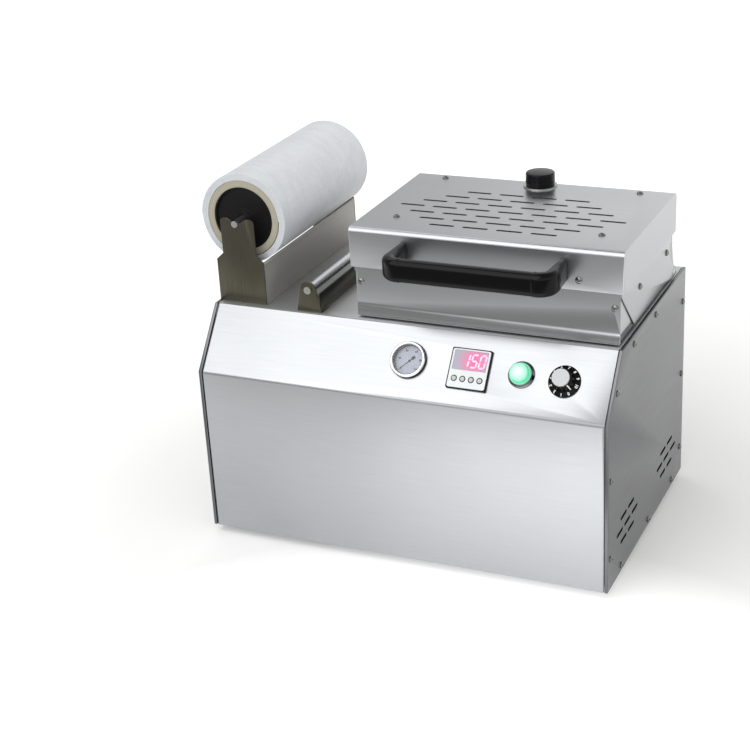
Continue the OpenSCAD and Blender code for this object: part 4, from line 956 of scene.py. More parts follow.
def bar_growth() -> Growth:
    """The tree of small bars on an arc, such as a dial's marks or a knob's ribs. Every few are longer."""
    measures = ("Radius", "Start", "Step", "Length", "Width", "Height", "Long share")
    grown = Growth("bars_on_an_arc", measures, ("Count", "Long every"))
    size = grown.sizes
    dots = grown.add("GeometryNodeMeshLine", {"Count": size["Count"]}, mode="OFFSET", count_mode="TOTAL")
    index = grown.add("GeometryNodeInputIndex")
    way = grown.add("ShaderNodeMath", {0: index, 1: size["Step"], 2: size["Start"]}, operation="MULTIPLY_ADD")
    cosine = grown.add("ShaderNodeMath", {0: way}, operation="COSINE")
    sine = grown.add("ShaderNodeMath", {0: way}, operation="SINE")
    out = grown.add("ShaderNodeCombineXYZ", {0: cosine, 1: sine})
    spot = grown.add("ShaderNodeVectorMath", {0: out, "Scale": size["Radius"]}, operation="SCALE")
    round_it = grown.add("GeometryNodeSetPosition", {"Geometry": dots, "Position": spot})
    block = grown.add("ShaderNodeCombineXYZ", {0: size["Length"], 1: size["Width"], 2: size["Height"]})
    cube = grown.add("GeometryNodeMeshCube", {"Size": block})
    half = grown.add("ShaderNodeMath", {0: size["Length"], 1: -0.5}, operation="MULTIPLY")
    back = grown.add("ShaderNodeCombineXYZ", {0: half})
    inward = grown.add("GeometryNodeTransform", {"Geometry": cube, "Translation": back})
    count = grown.add("ShaderNodeMath", {0: index, 1: size["Long every"]}, operation="MODULO")
    is_long = grown.add("ShaderNodeMath", {0: count, 1: 0.5}, operation="LESS_THAN")
    more = grown.add("ShaderNodeMath", {0: size["Long share"], 1: -1.0}, operation="ADD")
    longer = grown.add("ShaderNodeMath", {0: is_long, 1: more, 2: 1.0}, operation="MULTIPLY_ADD")
    stretch = grown.add("ShaderNodeCombineXYZ", {0: longer, 1: 1.0, 2: 1.0})
    euler = grown.add("ShaderNodeCombineXYZ", {2: way})
    turn = grown.add("FunctionNodeEulerToRotation", {0: euler})
    each = {"Points": round_it, "Instance": inward, "Rotation": turn, "Scale": stretch}
    grown.end(grown.add("GeometryNodeInstanceOnPoints", each))
    return grown


def winding_growth() -> Growth:
    """The tree of film wound on a core: a flat band that follows a spiral, each turn a little out of line."""
    measures = ("Turns", "Inner radius", "Outer radius", "Band width", "Band thickness", "Wander")
    grown = Growth("wound_band", measures, ("Steps", "Seed"))
    size = grown.sizes
    path = {"Resolution": size["Steps"], "Rotations": size["Turns"], "Height": 0.0}
    radii = {"Start Radius": size["Inner radius"], "End Radius": size["Outer radius"]}
    spiral = grown.add("GeometryNodeCurveSpiral", {**path, **radii})
    index = grown.add("GeometryNodeInputIndex")
    turn = grown.add("ShaderNodeMath", {0: index, 1: size["Steps"]}, operation="DIVIDE")
    seeded = grown.add("ShaderNodeMath", {0: turn, 1: size["Seed"]}, operation="ADD")
    chance = grown.add("ShaderNodeTexNoise", {"W": seeded, "Scale": 1.3}, noise_dimensions="1D")
    middle = grown.add("ShaderNodeMath", {0: chance, 1: -0.5}, operation="ADD")
    off = grown.add("ShaderNodeMath", {0: middle, 1: size["Wander"]}, operation="MULTIPLY")
    shift = grown.add("ShaderNodeCombineXYZ", {2: off})
    wavy = grown.add("GeometryNodeSetPosition", {"Geometry": spiral, "Offset": shift})
    upright = grown.add("GeometryNodeSetCurveNormal", {"Curve": wavy}, mode="Z_UP")
    flat = {"Width": size["Band thickness"], "Height": size["Band width"]}
    band = grown.add("GeometryNodeCurvePrimitiveQuadrilateral", flat)
    swept = {"Curve": upright, "Profile Curve": band, "Fill Caps": True}
    grown.end(grown.add("GeometryNodeCurveToMesh", swept))
    return grown


@dataclass
class Driver:
    """The screws of the machine, all of one kind, grown where a CAD node has them."""

    head: float = 7.6
    head_height: float = 2.2
    shank: float = 4.0
    length: float = 8.0
    recess: float = 4.4

    def __post_init__(self) -> None:
        """Makes the tree once."""
        self.growth = screw_growth()

    def fit(self, node: str, finish: Finish, seed: int) -> None:
        """Stands screws in for a CAD node of screws.

        Args:
            node: The CAD node.
            finish: Their finish.
            seed: The seed of their turns.
        """
        values = {
            "Head diameter": self.head * MM,
            "Head height": self.head_height * MM,
            "Shank diameter": self.shank * MM,
            "Shank length": self.length * MM,
            "Recess": self.recess * MM,
            "Seed": seed,
        }
        settle(self.growth.run(node + "_piece", values, finish, seats_of(node)), node, finish)


@dataclass
class Cabinet:
    """The folded stainless cabinet on its four feet."""

    bend: float = 2.4
    foot_wide: float = 30
    foot_low: float = 27
    foot_high: float = 10
    foot_bore: float = 2.8
    pocket_r: float = 7
    pocket_deep: float = 6

    def build(self, driver: Driver) -> None:
        """Builds the sheets, the feet and the screws.

        Args:
            driver: The screws.
        """
        softened("front_panel", SHEET, least=20, fold=self.bend)
        # The side panels take the darker copy of the stainless, which is painted shade.
        for node in ("side_panel_right", "side_panel_left"):
            softened(node, SIDE_SHEET_SHADED, edge=0.5, least=45)
        softened("rear_panel", SHEET, least=45, fold=self.bend)
        softened("deck_plate", DECK_SHEET, least=8)
        softened("base_pan", LINER, least=8, fold=self.bend)
        driver.fit("cabinet_screws", SCREW, seed=3)
        driver.fit("deck_screws", SCREW, seed=7)
        keep("foot_screws", ZINC)
        self.feet()

    def feet(self) -> None:
        """Turns the four rubber feet, each with a groove and a recess for its screw."""
        low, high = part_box("rubber_feet")
        inset = self.foot_wide / 2 * MM
        r, h, deep = self.foot_wide / 2, self.foot_high, self.pocket_deep
        profile = eased(
            [
                (self.foot_bore, h, 0),
                (r, h, 0.4),
                (r - 0.2, h * 0.72, 0.3),
                (r - 0.9, h * 0.66, 0.2),
                (self.foot_low / 2, 0, 1.2),
                (self.pocket_r + 0.2, 0, 0.8),
                (self.pocket_r, deep, 0.4),
                (self.foot_bore, deep, 0),
            ]
        )
        xs, ys = (low.x + inset, high.x - inset), (low.y + inset, high.y - inset)
        seats = [(x, y, low.z) for x in xs for y in ys]
        feet = [turned(f"foot_{i}", profile, Matrix.Translation(seat), 40) for i, seat in enumerate(seats)]
        settle(joined("rubber_feet_piece", feet), "rubber_feet", RUBBER)


def panel_place(joint: str) -> Matrix:
    """The control face's own frame at a joint: X to the right, Y up the slope and Z out of the face.

    Args:
        joint: The joint's name.

    Returns:
        The frame, in metres.
    """
    out = Vector(JOINTS[joint]["axis"])
    if out.y > 0:
        out = -out
    right = Vector((1, 0, 0))
    up = out.cross(right)
    place = Matrix((right, up, out)).transposed().to_4x4()
    place.translation = Vector(JOINTS[joint]["pos_m"])
    return place


def span_in(node: str, place: Matrix) -> tuple[Vector, Vector]:
    """Lowest and highest corner of a CAD node in a turned frame.

    Args:
        node: The CAD node.
        place: The frame.

    Returns:
        The corners, in mm.
    """
    home = place.inverted()
    low, high = box_of(home @ v.co for v in frame["nodes"][node].data.vertices)
    return low / MM, high / MM


@dataclass
class Gauge:
    """The vacuum gauge: a chrome bezel, a domed glass, a pale dial with marks and numbers, and a needle."""

    rim: float = 3.4
    ring_high: float = 2.6
    # Width of the matt black band of painted shade round the bezel's side.
    shade_band_wide: float = 2.1
    margin: float = 0.9
    dome_high: float = 0.5
    marks: int = 41
    long_every: int = 8
    long_share: float = 1.9
    mark: Spot = (1.6, 0.36, 0.06)
    sweep: float = 270
    number: float = 3.2
    number_in: float = 4.6
    pin: float = 0.55

    def build(self, bars: Growth) -> None:
        """Builds the gauge.

        Args:
            bars: The tree of bars on an arc.
        """
        place = panel_place("needle_swing")
        _, bezel = span_in("gauge_bezel", place)
        dial_low, dial = span_in("gauge_dial", place)
        r, h = bezel.x, bezel.z
        sight, seam, inner = r - self.rim, h - self.ring_high, r - self.shade_band_wide
        profile = eased(
            [
                (sight, h - 0.4, 0),
                (sight + 0.5, h - 0.2, 0.3),
                (r - 1.5, h, 0.9),
                (r - 0.4, h - 1.4, 0.8),
                (r - 0.4, seam, 0.3),
                (inner, seam, 0),
                (sight, seam + 0.4, 0),
            ],
            5,
        )
        settle(turned("gauge_bezel_piece", profile, place, 96), "gauge_bezel", CHROME)
        # Painted shade: the matt black band round the bezel's side stands for the shade and dark reflection
        # along its lower edge. The black ring inside the sight stands for the shadow between bezel and dial.
        gap = 0.05
        band = eased([(inner, seam - gap, 0), (r, seam - gap, 0.4), (r, gap, 0.3), (inner, gap, 0)])
        reach, foot, top = sight - self.margin, dial.z + 0.1, seam + 0.3
        shadow_ring = [(reach, foot), (sight + 0.4, foot), (sight + 0.4, top), (sight - 0.3, top)]
        rings = [turned("gauge_shade_band", band, place, 96), turned("gauge_shadow_ring", shadow_ring, place, 96)]
        settle(joined("gauge_shade_rings_piece", rings), "gauge_bezel", MATT_BLACK, stands_for=False)
        edge = dial.x - 0.1
        plate = [(0, dial.z), (edge, dial.z), (edge, dial_low.z), (0, dial_low.z)]
        settle(turned("gauge_dial_piece", plate, place), "gauge_dial", ENAMEL)
        glass_low, glass = span_in("gauge_lens", place)
        dome = [(glass.x * k / 8, glass.z - self.dome_high * (k / 8) ** 2) for k in range(9)]
        lens = [*dome, (glass.x, glass_low.z), (0, glass_low.z)]
        settle(turned("gauge_lens_piece", lens, place, 72), "gauge_lens", GLASS)
        self.print_dial(bars, place @ Matrix.Translation((0, 0, (dial.z + self.mark[2] / 2) * MM)), reach)
        self.needle(place)
        keep("gauge_case", ZINC)

    def print_dial(self, bars: Growth, face: Matrix, reach: float) -> None:
        """Prints the marks and the numbers.

        Args:
            bars: The tree of bars on an arc.
            face: The dial's face.
            reach: The radius of the marks' outer ends in mm.
        """
        start = math.radians(270 - (360 - self.sweep) / 2)
        step = -math.radians(self.sweep) / (self.marks - 1)
        length, width, height = self.mark
        values = {
            "Count": self.marks,
            "Radius": reach * MM,
            "Start": start,
            "Step": step,
            "Length": length * MM,
            "Width": width * MM,
            "Height": height * MM,
            "Long every": self.long_every,
            "Long share": self.long_share,
        }
        ticks = bars.run("gauge_marks", values, BLACK_INK)
        ticks.data.transform(face)
        settle(ticks, "gauge_dial", BLACK_INK, stands_for=False)
        numbers = []
        for i in range(6):
            angle = start + step * self.long_every * i
            spot = Vector((math.cos(angle), math.sin(angle), 0)) * (reach - self.number_in) * MM
            seat = face @ Matrix.Translation(spot)
            numbers.append(printed(f"gauge_number_{i}", str(20 * i), self.number, seat))
        settle(joined("gauge_numbers", numbers), "gauge_dial", BLACK_INK, stands_for=False)

    def needle(self, place: Matrix) -> None:
        """Cuts the needle with its counterweight, pointing where the CAD needle does.

        Args:
            place: The gauge's frame.
        """
        low, high = span_in("gauge_needle", place)
        tip = Vector((low.x, low.y))
        long, tail = tip.length * 0.98, Vector((high.x, high.y)).length * 0.98
        neck = tail * 0.4
        left = [(-0.22, long), (-0.5, 0), (-0.5, -neck), (-1.6, -neck - 0.6), (-1.6, -tail)]
        right = [(-x, y) for x, y in reversed(left)]
        angle = math.atan2(tip.y, tip.x) - math.pi / 2
        turn = place @ Matrix.Rotation(angle, 4, "Z")
        under = high.z - 1.0
        pin = self.pin
        foot = [(pin, under, 0), (pin, low.z, 0), (0, low.z, 0)]
        hub = [(0, high.z, 0), (1.2, high.z, 0.3), (1.3, under, 0), *foot]
        arm = stamped("needle_arm", [[right[-2], right[-1], *left, *right[:-2]]], under, under + 0.3, turn)
        hubs = turned("needle_hub", eased(hub), place, 32)
        settle(joined("gauge_needle_piece", [arm, hubs]), "gauge_needle", BLACK_INK)


@dataclass
class Controller:
    """The temperature controller: a black case with a pale label, a lit window and four round keys."""

    label_edge: float = 1.3
    label_high: float = 0.25
    window_gap: float = 0.4
    key_gap: float = 0.25
    key_shade_ring: float = 1.1
    digit: tuple[float, float] = (6.2, 14.5)
    stroke: float = 1.9
    lean: float = 0.12
    shown: str = "150"

    SEGMENTS = ("abcdef", "bc", "abged", "abgcd", "fgbc", "afgcd", "afgecd", "abc", "abcdefg", "abcdfg")

    def build(self) -> None:
        """Builds the case, the label, the window with its digits, and the keys."""
        key_place = panel_place("key_two_press")
        case_low, case = span_in("controller_body", key_place)
        middle = (case_low + case) / 2
        place = key_place @ Matrix.Translation((middle.x * MM, middle.y * MM, 0))
        _, case = span_in("controller_body", place)
        softened("controller_body", MATT_BLACK, edge=0.6)
        low, high = span_in("controller_window", place)
        width, height = high.x - low.x, high.y - low.y
        centre = (low + high) / 2
        opening = round_corners(width + self.window_gap, height + self.window_gap, 0.8)
        window = [(x + centre.x, y + centre.y) for x, y in opening]
        keys = {node: span_in(node, place) for node in ("key_1", "key_2", "key_3", "key_4")}
        side = 2 * (case.x - self.label_edge)
        face = case.z
        holes, rings = [], []
        for i, (a, b) in enumerate(keys.values()):
            r, spot = (b.x - a.x) / 2, ((a.x + b.x) / 2, (a.y + b.y) / 2)
            holes.append(disc(r + self.key_gap, spot))
            # Painted shade: a black ring printed round each key stands for the shade on the key's rim and in
            # the gap round it.
            ring = [disc(r + self.key_shade_ring, spot), holes[-1]]
            rings.append(stamped(f"key_ring_{i}", ring, face + 0.2, face + 0.32, place))
        plate = [round_corners(side, side, 2.2), window, *holes]
        label = stamped("controller_label", plate, face - 0.1, face + self.label_high, place)
        settle(label, "controller_body", LABEL, stands_for=False)
        settle(joined("key_shade_rings", rings), "controller_body", BLACK_INK, stands_for=False)
        for node, (a, b) in keys.items():
            r = (b.x - a.x) / 2
            spot = place @ Matrix.Translation(((a.x + b.x) / 2 * MM, (a.y + b.y) / 2 * MM, 0))
            dish = [(0, b.z - 0.25, 0), (r * 0.55, b.z - 0.2, 0.6), (r, b.z, 0.5), (r, a.z, 0), (0, a.z, 0)]
            settle(turned(node + "_piece", eased(dish), spot, 32), node, KEY_GREY)
        glow = tuple(place @ Vector(((centre.x + width * 0.14) * MM, centre.y * MM, high.z * MM)))
        tinted = LitPlastic(
            "acrylic_red_lit", "#c2507a", 0.12, "#8f8c9c", glow="#ff4f8c", power=0.45, centre=glow, reach=22
        )
        at = place @ Matrix.Translation((centre.x * MM, centre.y * MM, 0))
        lens = stamped("controller_window_piece", [round_corners(width, height, 0.7)], low.z, high.z, at)
        settle(lens, "controller_window", tinted)
        self.digits(at @ Matrix.Translation((width * 0.12 * MM, 0, 0)), high.z, glow)

    def digits(self, place: Matrix, face: float, glow: Spot) -> None:
        """Builds the lit seven-segment digits.

        Args:
            place: The middle of the window.
            face: The height of its face in mm.
            glow: Where the lamp is brightest, in metres.
        """
        w, h = self.digit
        s = self.stroke / 2
        ends = {
            "a": ((0, h), (w, h)),
            "b": ((w, h), (w, h / 2)),
            "c": ((w, h / 2), (w, 0)),
            "d": ((0, 0), (w, 0)),
            "e": ((0, h / 2), (0, 0)),
            "f": ((0, h), (0, h / 2)),
            "g": ((0, h / 2), (w, h / 2)),
        }
        pitch = w + 3.4
        bars: list[Outline] = []
        for i, figure in enumerate(self.shown):
            for segment in self.SEGMENTS[int(figure)]:
                (x0, y0), (x1, y1) = ends[segment]
                along = Vector((x1 - x0, y1 - y0)).normalized()
                side = Vector((-along.y, along.x)) * s
                a, b = Vector((x0, y0)) + along * s * 0.3, Vector((x1, y1)) - along * s * 0.3
                near, far = a + along * s, b - along * s
                points = [a, near + side, far + side, b, far - side, near - side]
                left = (i - len(self.shown) / 2) * pitch + (pitch - w) / 2
                bars.append([(p.x + left + (p.y - h / 2) * self.lean, p.y - h / 2) for p in points])
        lit = LitPlastic(
            "led_segment_red", "#ffb3d0", 0.3, "#ff3d7f", glow="#ff9cc4", power=1.1, centre=glow, reach=60
        )
        figures = stamped("controller_digits", bars, face - 0.05, face + 0.08, place)
        settle(figures, "controller_window", lit, stands_for=False)


@dataclass
class PushButton:
    """The lit push button: a green ribbed cap in a chromed cone, on a threaded barrel with a ring nut."""

    lip: float = 2.0
    cone: float = 8
    collar: float = 3.0
    barrel: float = 11
    thread: float = 1.5
    rib: float = 1.3
    nut: float = 14.5
    nut_high: float = 4
    sheet: float = 1.5

    def build(self) -> None:
        """Builds the cone, the collar, the barrel and the cap."""
        place = panel_place("button_press")
        low, cone = span_in("button_bezel", place)
        cap_low, cap = span_in("button_cap", place)
        surface = cone.z - self.cone
        bore = cap.x + 0.25
        ring = bore + self.lip
        shoulder = cone.z - self.collar
        profile = eased(
            [
                (bore, surface, 0),
                (bore, shoulder, 0.1),
                (ring + 0.4, shoulder, 0.4),
                (cone.x - 1.3, surface + 2.2, 0.8),
                (cone.x - 0.2, surface + 1.2, 0.5),
                (cone.x - 0.1, surface + 0.1, 0.2),
                (bore + 0.5, surface + 0.1, 0),
            ]
        )
        settle(turned("button_bezel_piece", profile, place, 80), "button_bezel", DARK_CHROME)
        lamp = tuple(place @ Vector((0, 0, (cap.z + 1) * MM)))
        glow = {"glow": "#c9ffe0", "power": 0.4, "centre": lamp, "reach": 14}
        green = LitPlastic("polycarbonate_green_lit", "#d9fbe8", 0.2, "#63c99d", **glow)
        step = self.collar / 3
        waves = []
        for k in range(3):
            r, z = ring - 0.55 * k, shoulder + k * step
            waves += [(r, z + 0.05, 0.2), (r, z + step, 0.35)]
        collar = eased([(bore, shoulder + 0.05, 0), *waves, (bore, cone.z, 0.2), (bore, cone.z - 0.3, 0)])
        settle(turned("button_collar", collar, place, 80), "button_bezel", green, stands_for=False)
        threads = int((surface - low.z) / self.thread)
        pitch = (surface - low.z) / threads
        ridges = []
        for k in range(threads):
            ridges += [(self.barrel, low.z + k * pitch), (self.barrel - 0.5, low.z + (k + 0.5) * pitch)]
        tube = [(bore, low.z), *ridges, (self.barrel, surface), (bore, surface)]
        barrel = [turned("button_barrel", tube, place, 48)]
        lower = place @ Matrix.Translation((0, 0, (surface - self.sheet - self.nut_high) * MM))
        nut = [disc(self.nut, steps=6), disc(self.barrel + 0.05)]
        barrel.append(stamped("button_nut", nut, 0, self.nut_high - 0.02, lower))
        settle(joined("button_barrel_piece", barrel), "button_bezel", MATT_BLACK, stands_for=False)
        r, top = cap.x, cap.z
        ribs = []
        for k in range(3):
            z, groove = cone.z + 0.5 + k * self.rib, r - 0.6
            ribs += [(r, z, 0.2), (groove, z + 0.25, 0.2), (groove, z + 0.75, 0.2), (r, z + 1.0, 0.2)]
        crown = [(r - 0.2, top - 2.0, 1.6), (r * 0.62, top - 0.3, 2.0), (0, top, 0)]
        outline = eased([(0, cap_low.z, 0), (r, cap_low.z, 0), *ribs, *crown])
        settle(turned("button_cap_piece", list(reversed(outline)), place, 64), "button_cap", green)


@dataclass
class HeatDial:
    """The time dial: a fluted black knob on a numbered skirt, a spun aluminium cap and a white pointer."""

    flutes: int = 36
    number: float = 4.5
    pointer: float = -42
    flute: Spot = (1.6, 0.9, 10.4)
    taper: float = 0.055
    body: float = 12.1
    face_rise: float = 1.9

    def build(self, bars: Growth) -> None:
        """Builds the knob.

        Args:
            bars: The tree of bars on an arc.
        """
        place = panel_place("dial_turn")
        low, knob = span_in("dial_knob", place)
        r = knob.x
        foot, top = low.z, knob.z
        body = self.body
        skirt = [
            (0, foot, 0),
            (r - 0.4, foot, 0.3),
            (r, foot + 0.6, 0.4),
            (r - 0.3, foot + 1.1, 0.4),
            (body + 0.6, foot + 3, 0.5),
            (body, foot + 3.2, 0),
            (body - 1.4, top - 2.2, 0.6),
            (body - 2.0, top - 1.2, 0.5),
            (0, top - 1.2, 0),
        ]
        parts = [turned("dial_body", eased(skirt), place, 96)]
        length, width, height = self.flute
        values = {
            "Count": self.flutes,
            "Radius": (body + 0.35) * MM,
            "Start": 0.0,
            "Step": math.tau / self.flutes,
            "Length": length * MM,
            "Width": width * MM,
            "Height": height * MM,
            "Long every": 1,
            "Long share": 1.0,
        }
        ribs = bars.run("dial_flutes", values, GLOSS_BLACK)
        for vert in ribs.data.vertices:
            share = 1 - self.taper * (vert.co.z / (height * MM) + 0.5)
            vert.co = Vector((vert.co.x * share, vert.co.y * share, vert.co.z))
        ribs.data.transform(place @ Matrix.Translation((0, 0, (foot + 3 + height / 2) * MM)))
        parts.append(ribs)
        settle(joined("dial_knob_piece", parts), "dial_knob", GLOSS_BLACK)
        dish = [(0, top - 0.3, 0), (8.2, top - 0.3, 0.3), (8.7, top, 0.2), (9.4, top, 0.3)]
        cap = [*dish, (9.8, top - 0.5, 0.3), (9.8, top - 1.25, 0), (0, top - 1.25, 0)]
        settle(turned("dial_cap", eased(cap), place, 64), "dial_knob", SPUN, stands_for=False)
        self.print_skirt(place, r, foot)
        keep("dial_shaft", CAST)

    def print_skirt(self, place: Matrix, r: float, foot: float) -> None:
        """Prints the numbers and the pointer.

        Args:
            place: The dial's frame.
            r: The skirt's radius in mm.
            foot: The height of the skirt's underside in mm.
        """
        body = self.body
        tilt = Matrix.Rotation(-math.atan2(self.face_rise, r - 0.3 - body - 0.6), 4, "X")
        out = Matrix.Translation((0, (r + body) / 2 * MM, (foot + 2.22) * MM))
        numbers = []
        for i in range(11):
            angle = math.radians(self.pointer - 18 - 31.5 * i)
            spot = place @ Matrix.Rotation(angle - math.pi / 2, 4, "Z") @ out @ tilt
            numbers.append(printed(f"dial_number_{i}", str(i), self.number, spot, 0.06, 0.16))
        settle(joined("dial_numbers", numbers), "dial_knob", WHITE_INK, stands_for=False)
        turn = place @ Matrix.Rotation(math.radians(self.pointer), 4, "Z")
        near, far, half = body - 1.6, body + 0.66, 0.7
        strip = []
        for z, lean in ((foot + 3.0, 0), (foot + 3.0 + self.flute[2] + 1.2, 1.0)):
            corners = ((near, -half), (far, -half), (far, half), (near, half))
            strip.append([Vector((x - lean, y, z)) * MM for x, y in corners])
        piece = lofted("dial_pointer", strip)
        piece.data.transform(turn)
        settle(piece, "dial_knob", WHITE_INK, stands_for=False)


@dataclass
class FilmRoll:
    """The roll of film on its cardboard core, with a plug in each end and the shaft through both."""

    turns: float = 9.0
    wander: float = 0.7
    hub: float = 9.0
    dish: float = 4.0
    plug: float = 22.0
    hole: float = 4.05
    sunk: float = 0.8

    def build(self) -> None:
        """Builds the film, the core, the plugs and the shaft."""
        low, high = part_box("film_roll")
        axis = (low + high) / 2
        half = (high.y - low.y) / 2 / MM
        outer = (high.x - low.x) / 2 / MM
        core_low, core_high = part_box("film_core")
        core = (core_high.x - core_low.x) / 2 / MM
        lie = Matrix.Translation(axis) @ Matrix.Rotation(-math.pi / 2, 4, "X")
        pitch = (outer - core) / self.turns
        film = WoundFilm("polyethylene_film_wound", "#d5d8dc", 0.36, "#c6cacf", centre=tuple(axis))
        values = {
            "Turns": self.turns - 0.5,
            "Inner radius": (core + pitch * 0.5 + 0.05) * MM,
            "Outer radius": (outer - pitch * 0.5) * MM,
            "Band width": (half * 2 - self.wander) * MM,
            "Band thickness": pitch * 1.02 * MM,
            "Steps": 96,
            "Wander": self.wander * MM,
            "Seed": 5,
        }
        roll = winding_growth().run("film_roll_piece", values, film)
        roll.data.transform(lie)
        settle(roll, "film_roll", film)
        plug_low, plug_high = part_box("core_plugs")
        bore = (plug_high.x - plug_low.x) / 2 / MM
        card = WoundCard("kraft_board_spiral_wound", "#b0ab9c", 0.85, "#8f8a78", centre=tuple(axis))
        end = (core_high.y - core_low.y) / 2 / MM
        out, inner = core - 0.05, bore + 0.05
        corners = [(out, end, 0.6), (inner, end, 0.6), (inner, -end, 0.6), (out, -end, 0.6)]
        profile = eased([(out, 0, 0), *corners, (out, -0.1, 0)])
        settle(turned("film_core_piece", profile, lie, 96), "film_core", card)
        self.plugs(lie, bore, end)
        softened("roll_shaft", BRIGHT_BAR, edge=0.8)

    def plugs(self, lie: Matrix, bore: float, end: float) -> None:
        """Turns the two dished plugs.

        Args:
            lie: The roll's frame, with Z along its axis.
            bore: The core's bore radius in mm.
            end: Half the core's length in mm.
        """
        r = bore - 0.05
        profile = eased(
            [
                (self.hole, -self.plug, 0),
                (self.hole, -self.sunk / 2, 0.4),
                (self.hub, -self.sunk / 2, 0.8),
                (self.hub + 1.2, -self.dish, 1.0),
                (r - 3.2, -self.dish, 1.2),
                (r - 2.0, -self.sunk, 0.6),
                (r, -self.sunk, 0.5),
                (r, -self.plug, 0),
            ]
        )
        out = Matrix.Translation((0, 0, end * MM))
        ways = {"plug_a": lie @ out, "plug_b": lie @ Matrix.Rotation(math.pi, 4, "X") @ out}
        both = [turned(name, profile, place, 80) for name, place in ways.items()]
        settle(joined("core_plugs_piece", both), "core_plugs", MATT_BLACK)


@dataclass
class RollStand:
    """The two notched plates that carry the roll, the wall between them, and the guide roller beside it."""

    def build(self) -> None:
        """Builds the plates, the wall, and the guide roller with its brackets."""
        for node in ("roll_bracket_front", "roll_bracket_rear"):
            softened(node, BRACKET, edge=0.4)
        softened("roll_wall", WALL_SHEET, edge=0.4, least=8)
        softened("guide_brackets", BRACKET, edge=0.4)
        softened("guide_axle", ZINC, edge=0.5)
        softened("guide_tube", BRIGHT_BAR, edge=0.5)


@dataclass
class Handle:
    """The gloss black handle: a grip with full edges, and two ends that turn back to pads on the cover."""

    fillet: float = 7
    corner: float = 22
    pad: float = 8
    splay: float = 4
    inset: float = 0.35
    overlap: float = 3
    chamfer: float = 0.6
    pad_deep: float = 3
    pad_edge: float = 0.5
    steps: int = 12

    def section(self, centre: Vector, side: Vector, width: float, height: float) -> list[Vector]:
        """A section with full corners.

        Args:
            centre: Its middle, in metres.
            side: The way of its width.
            width: Its width in mm.
            height: Its height in mm.

        Returns:
            Its points, in metres.
        """
        outline = round_corners(width, height, min(self.fillet, width / 2 - 0.6), 7)
        return [centre + (side * x + Vector((0, 0, z))) * MM for x, z in outline]

    def build(self) -> None:
        """Builds the grip and its two ends."""
        low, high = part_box("handle_grip")
        middle = (low + high) / 2
        _, width, height = (high - low) / MM
        reach = (high.x - low.x) / 2 + self.overlap * MM
        slim = (width - 2 * self.inset, height - 2 * self.inset)
        spots = [middle + Vector((reach * k / 8, 0, 0)) for k in range(-8, 9)]
        rings = [self.section(spot, Vector((0, 1, 0)), *slim) for spot in spots]
        settle(lofted("handle_grip_piece", rings), "handle_grip", GLOSS_BLACK, smooth=50)
        ends = [self.end(sign) for sign in (-1, 1)]
        settle(joined("handle_ends_piece", ends), "handle_ends", GLOSS_BLACK, smooth=50)

    def end(self, sign: int) -> Piece:
        """Sweeps one end from the grip round its corner, and back along an arm that narrows to its pad.

        Args:
            sign: 1 for the right end and -1 for the left one.

        Returns:
            The end.
        """
        grip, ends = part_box("handle_grip"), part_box("handle_ends")
        middle = (grip[0] + grip[1]) / 2
        _, width, height = (grip[1] - grip[0]) / MM
        inner, outer = (box[sign > 0].x for box in (grip, ends))
        front, back = grip[0].y, ends[1].y
        forward, across = Vector((0, 1, 0)), Vector((-sign, 0, 0))
        start = Vector((inner, middle.y, middle.z))
        rings = [
            self.section(start, forward, width - 2 * self.chamfer, height - 2 * self.chamfer),
            self.section(start + Vector((sign * self.chamfer * MM, 0, 0)), forward, width, height),
        ]
        hub = Vector((outer - sign * self.corner * MM, front + self.corner * MM, middle.z))
        radius = (self.corner - width / 2) * MM
        for k in range(self.steps + 1):
            angle = math.pi / 2 * k / self.steps
            side = forward * math.cos(angle) + across * math.sin(angle)
            rings.append(self.section(hub - side * radius, side, width, height))
        slim = back - self.pad_deep * MM
        for k in range(1, 7):
            t = k / 6
            near = width + (self.splay + self.pad - width) * t
            x = outer - sign * (self.splay * t + near) / 2 * MM
            y = hub.y + (slim - hub.y) * t
            rings.append(self.section(Vector((x, y, middle.z)), across, near - self.splay * t, height))
        x = outer - sign * (self.splay + self.pad / 2) * MM
        for rim in (self.pad_edge, 0):
            less = 2 * (self.pad_edge - rim)
            spot = Vector((x, back - rim * MM, middle.z))
            rings.append(self.section(spot, across, self.pad - less, height - less))
        return lofted(f"handle_end_{'right' if sign > 0 else 'left'}", rings)


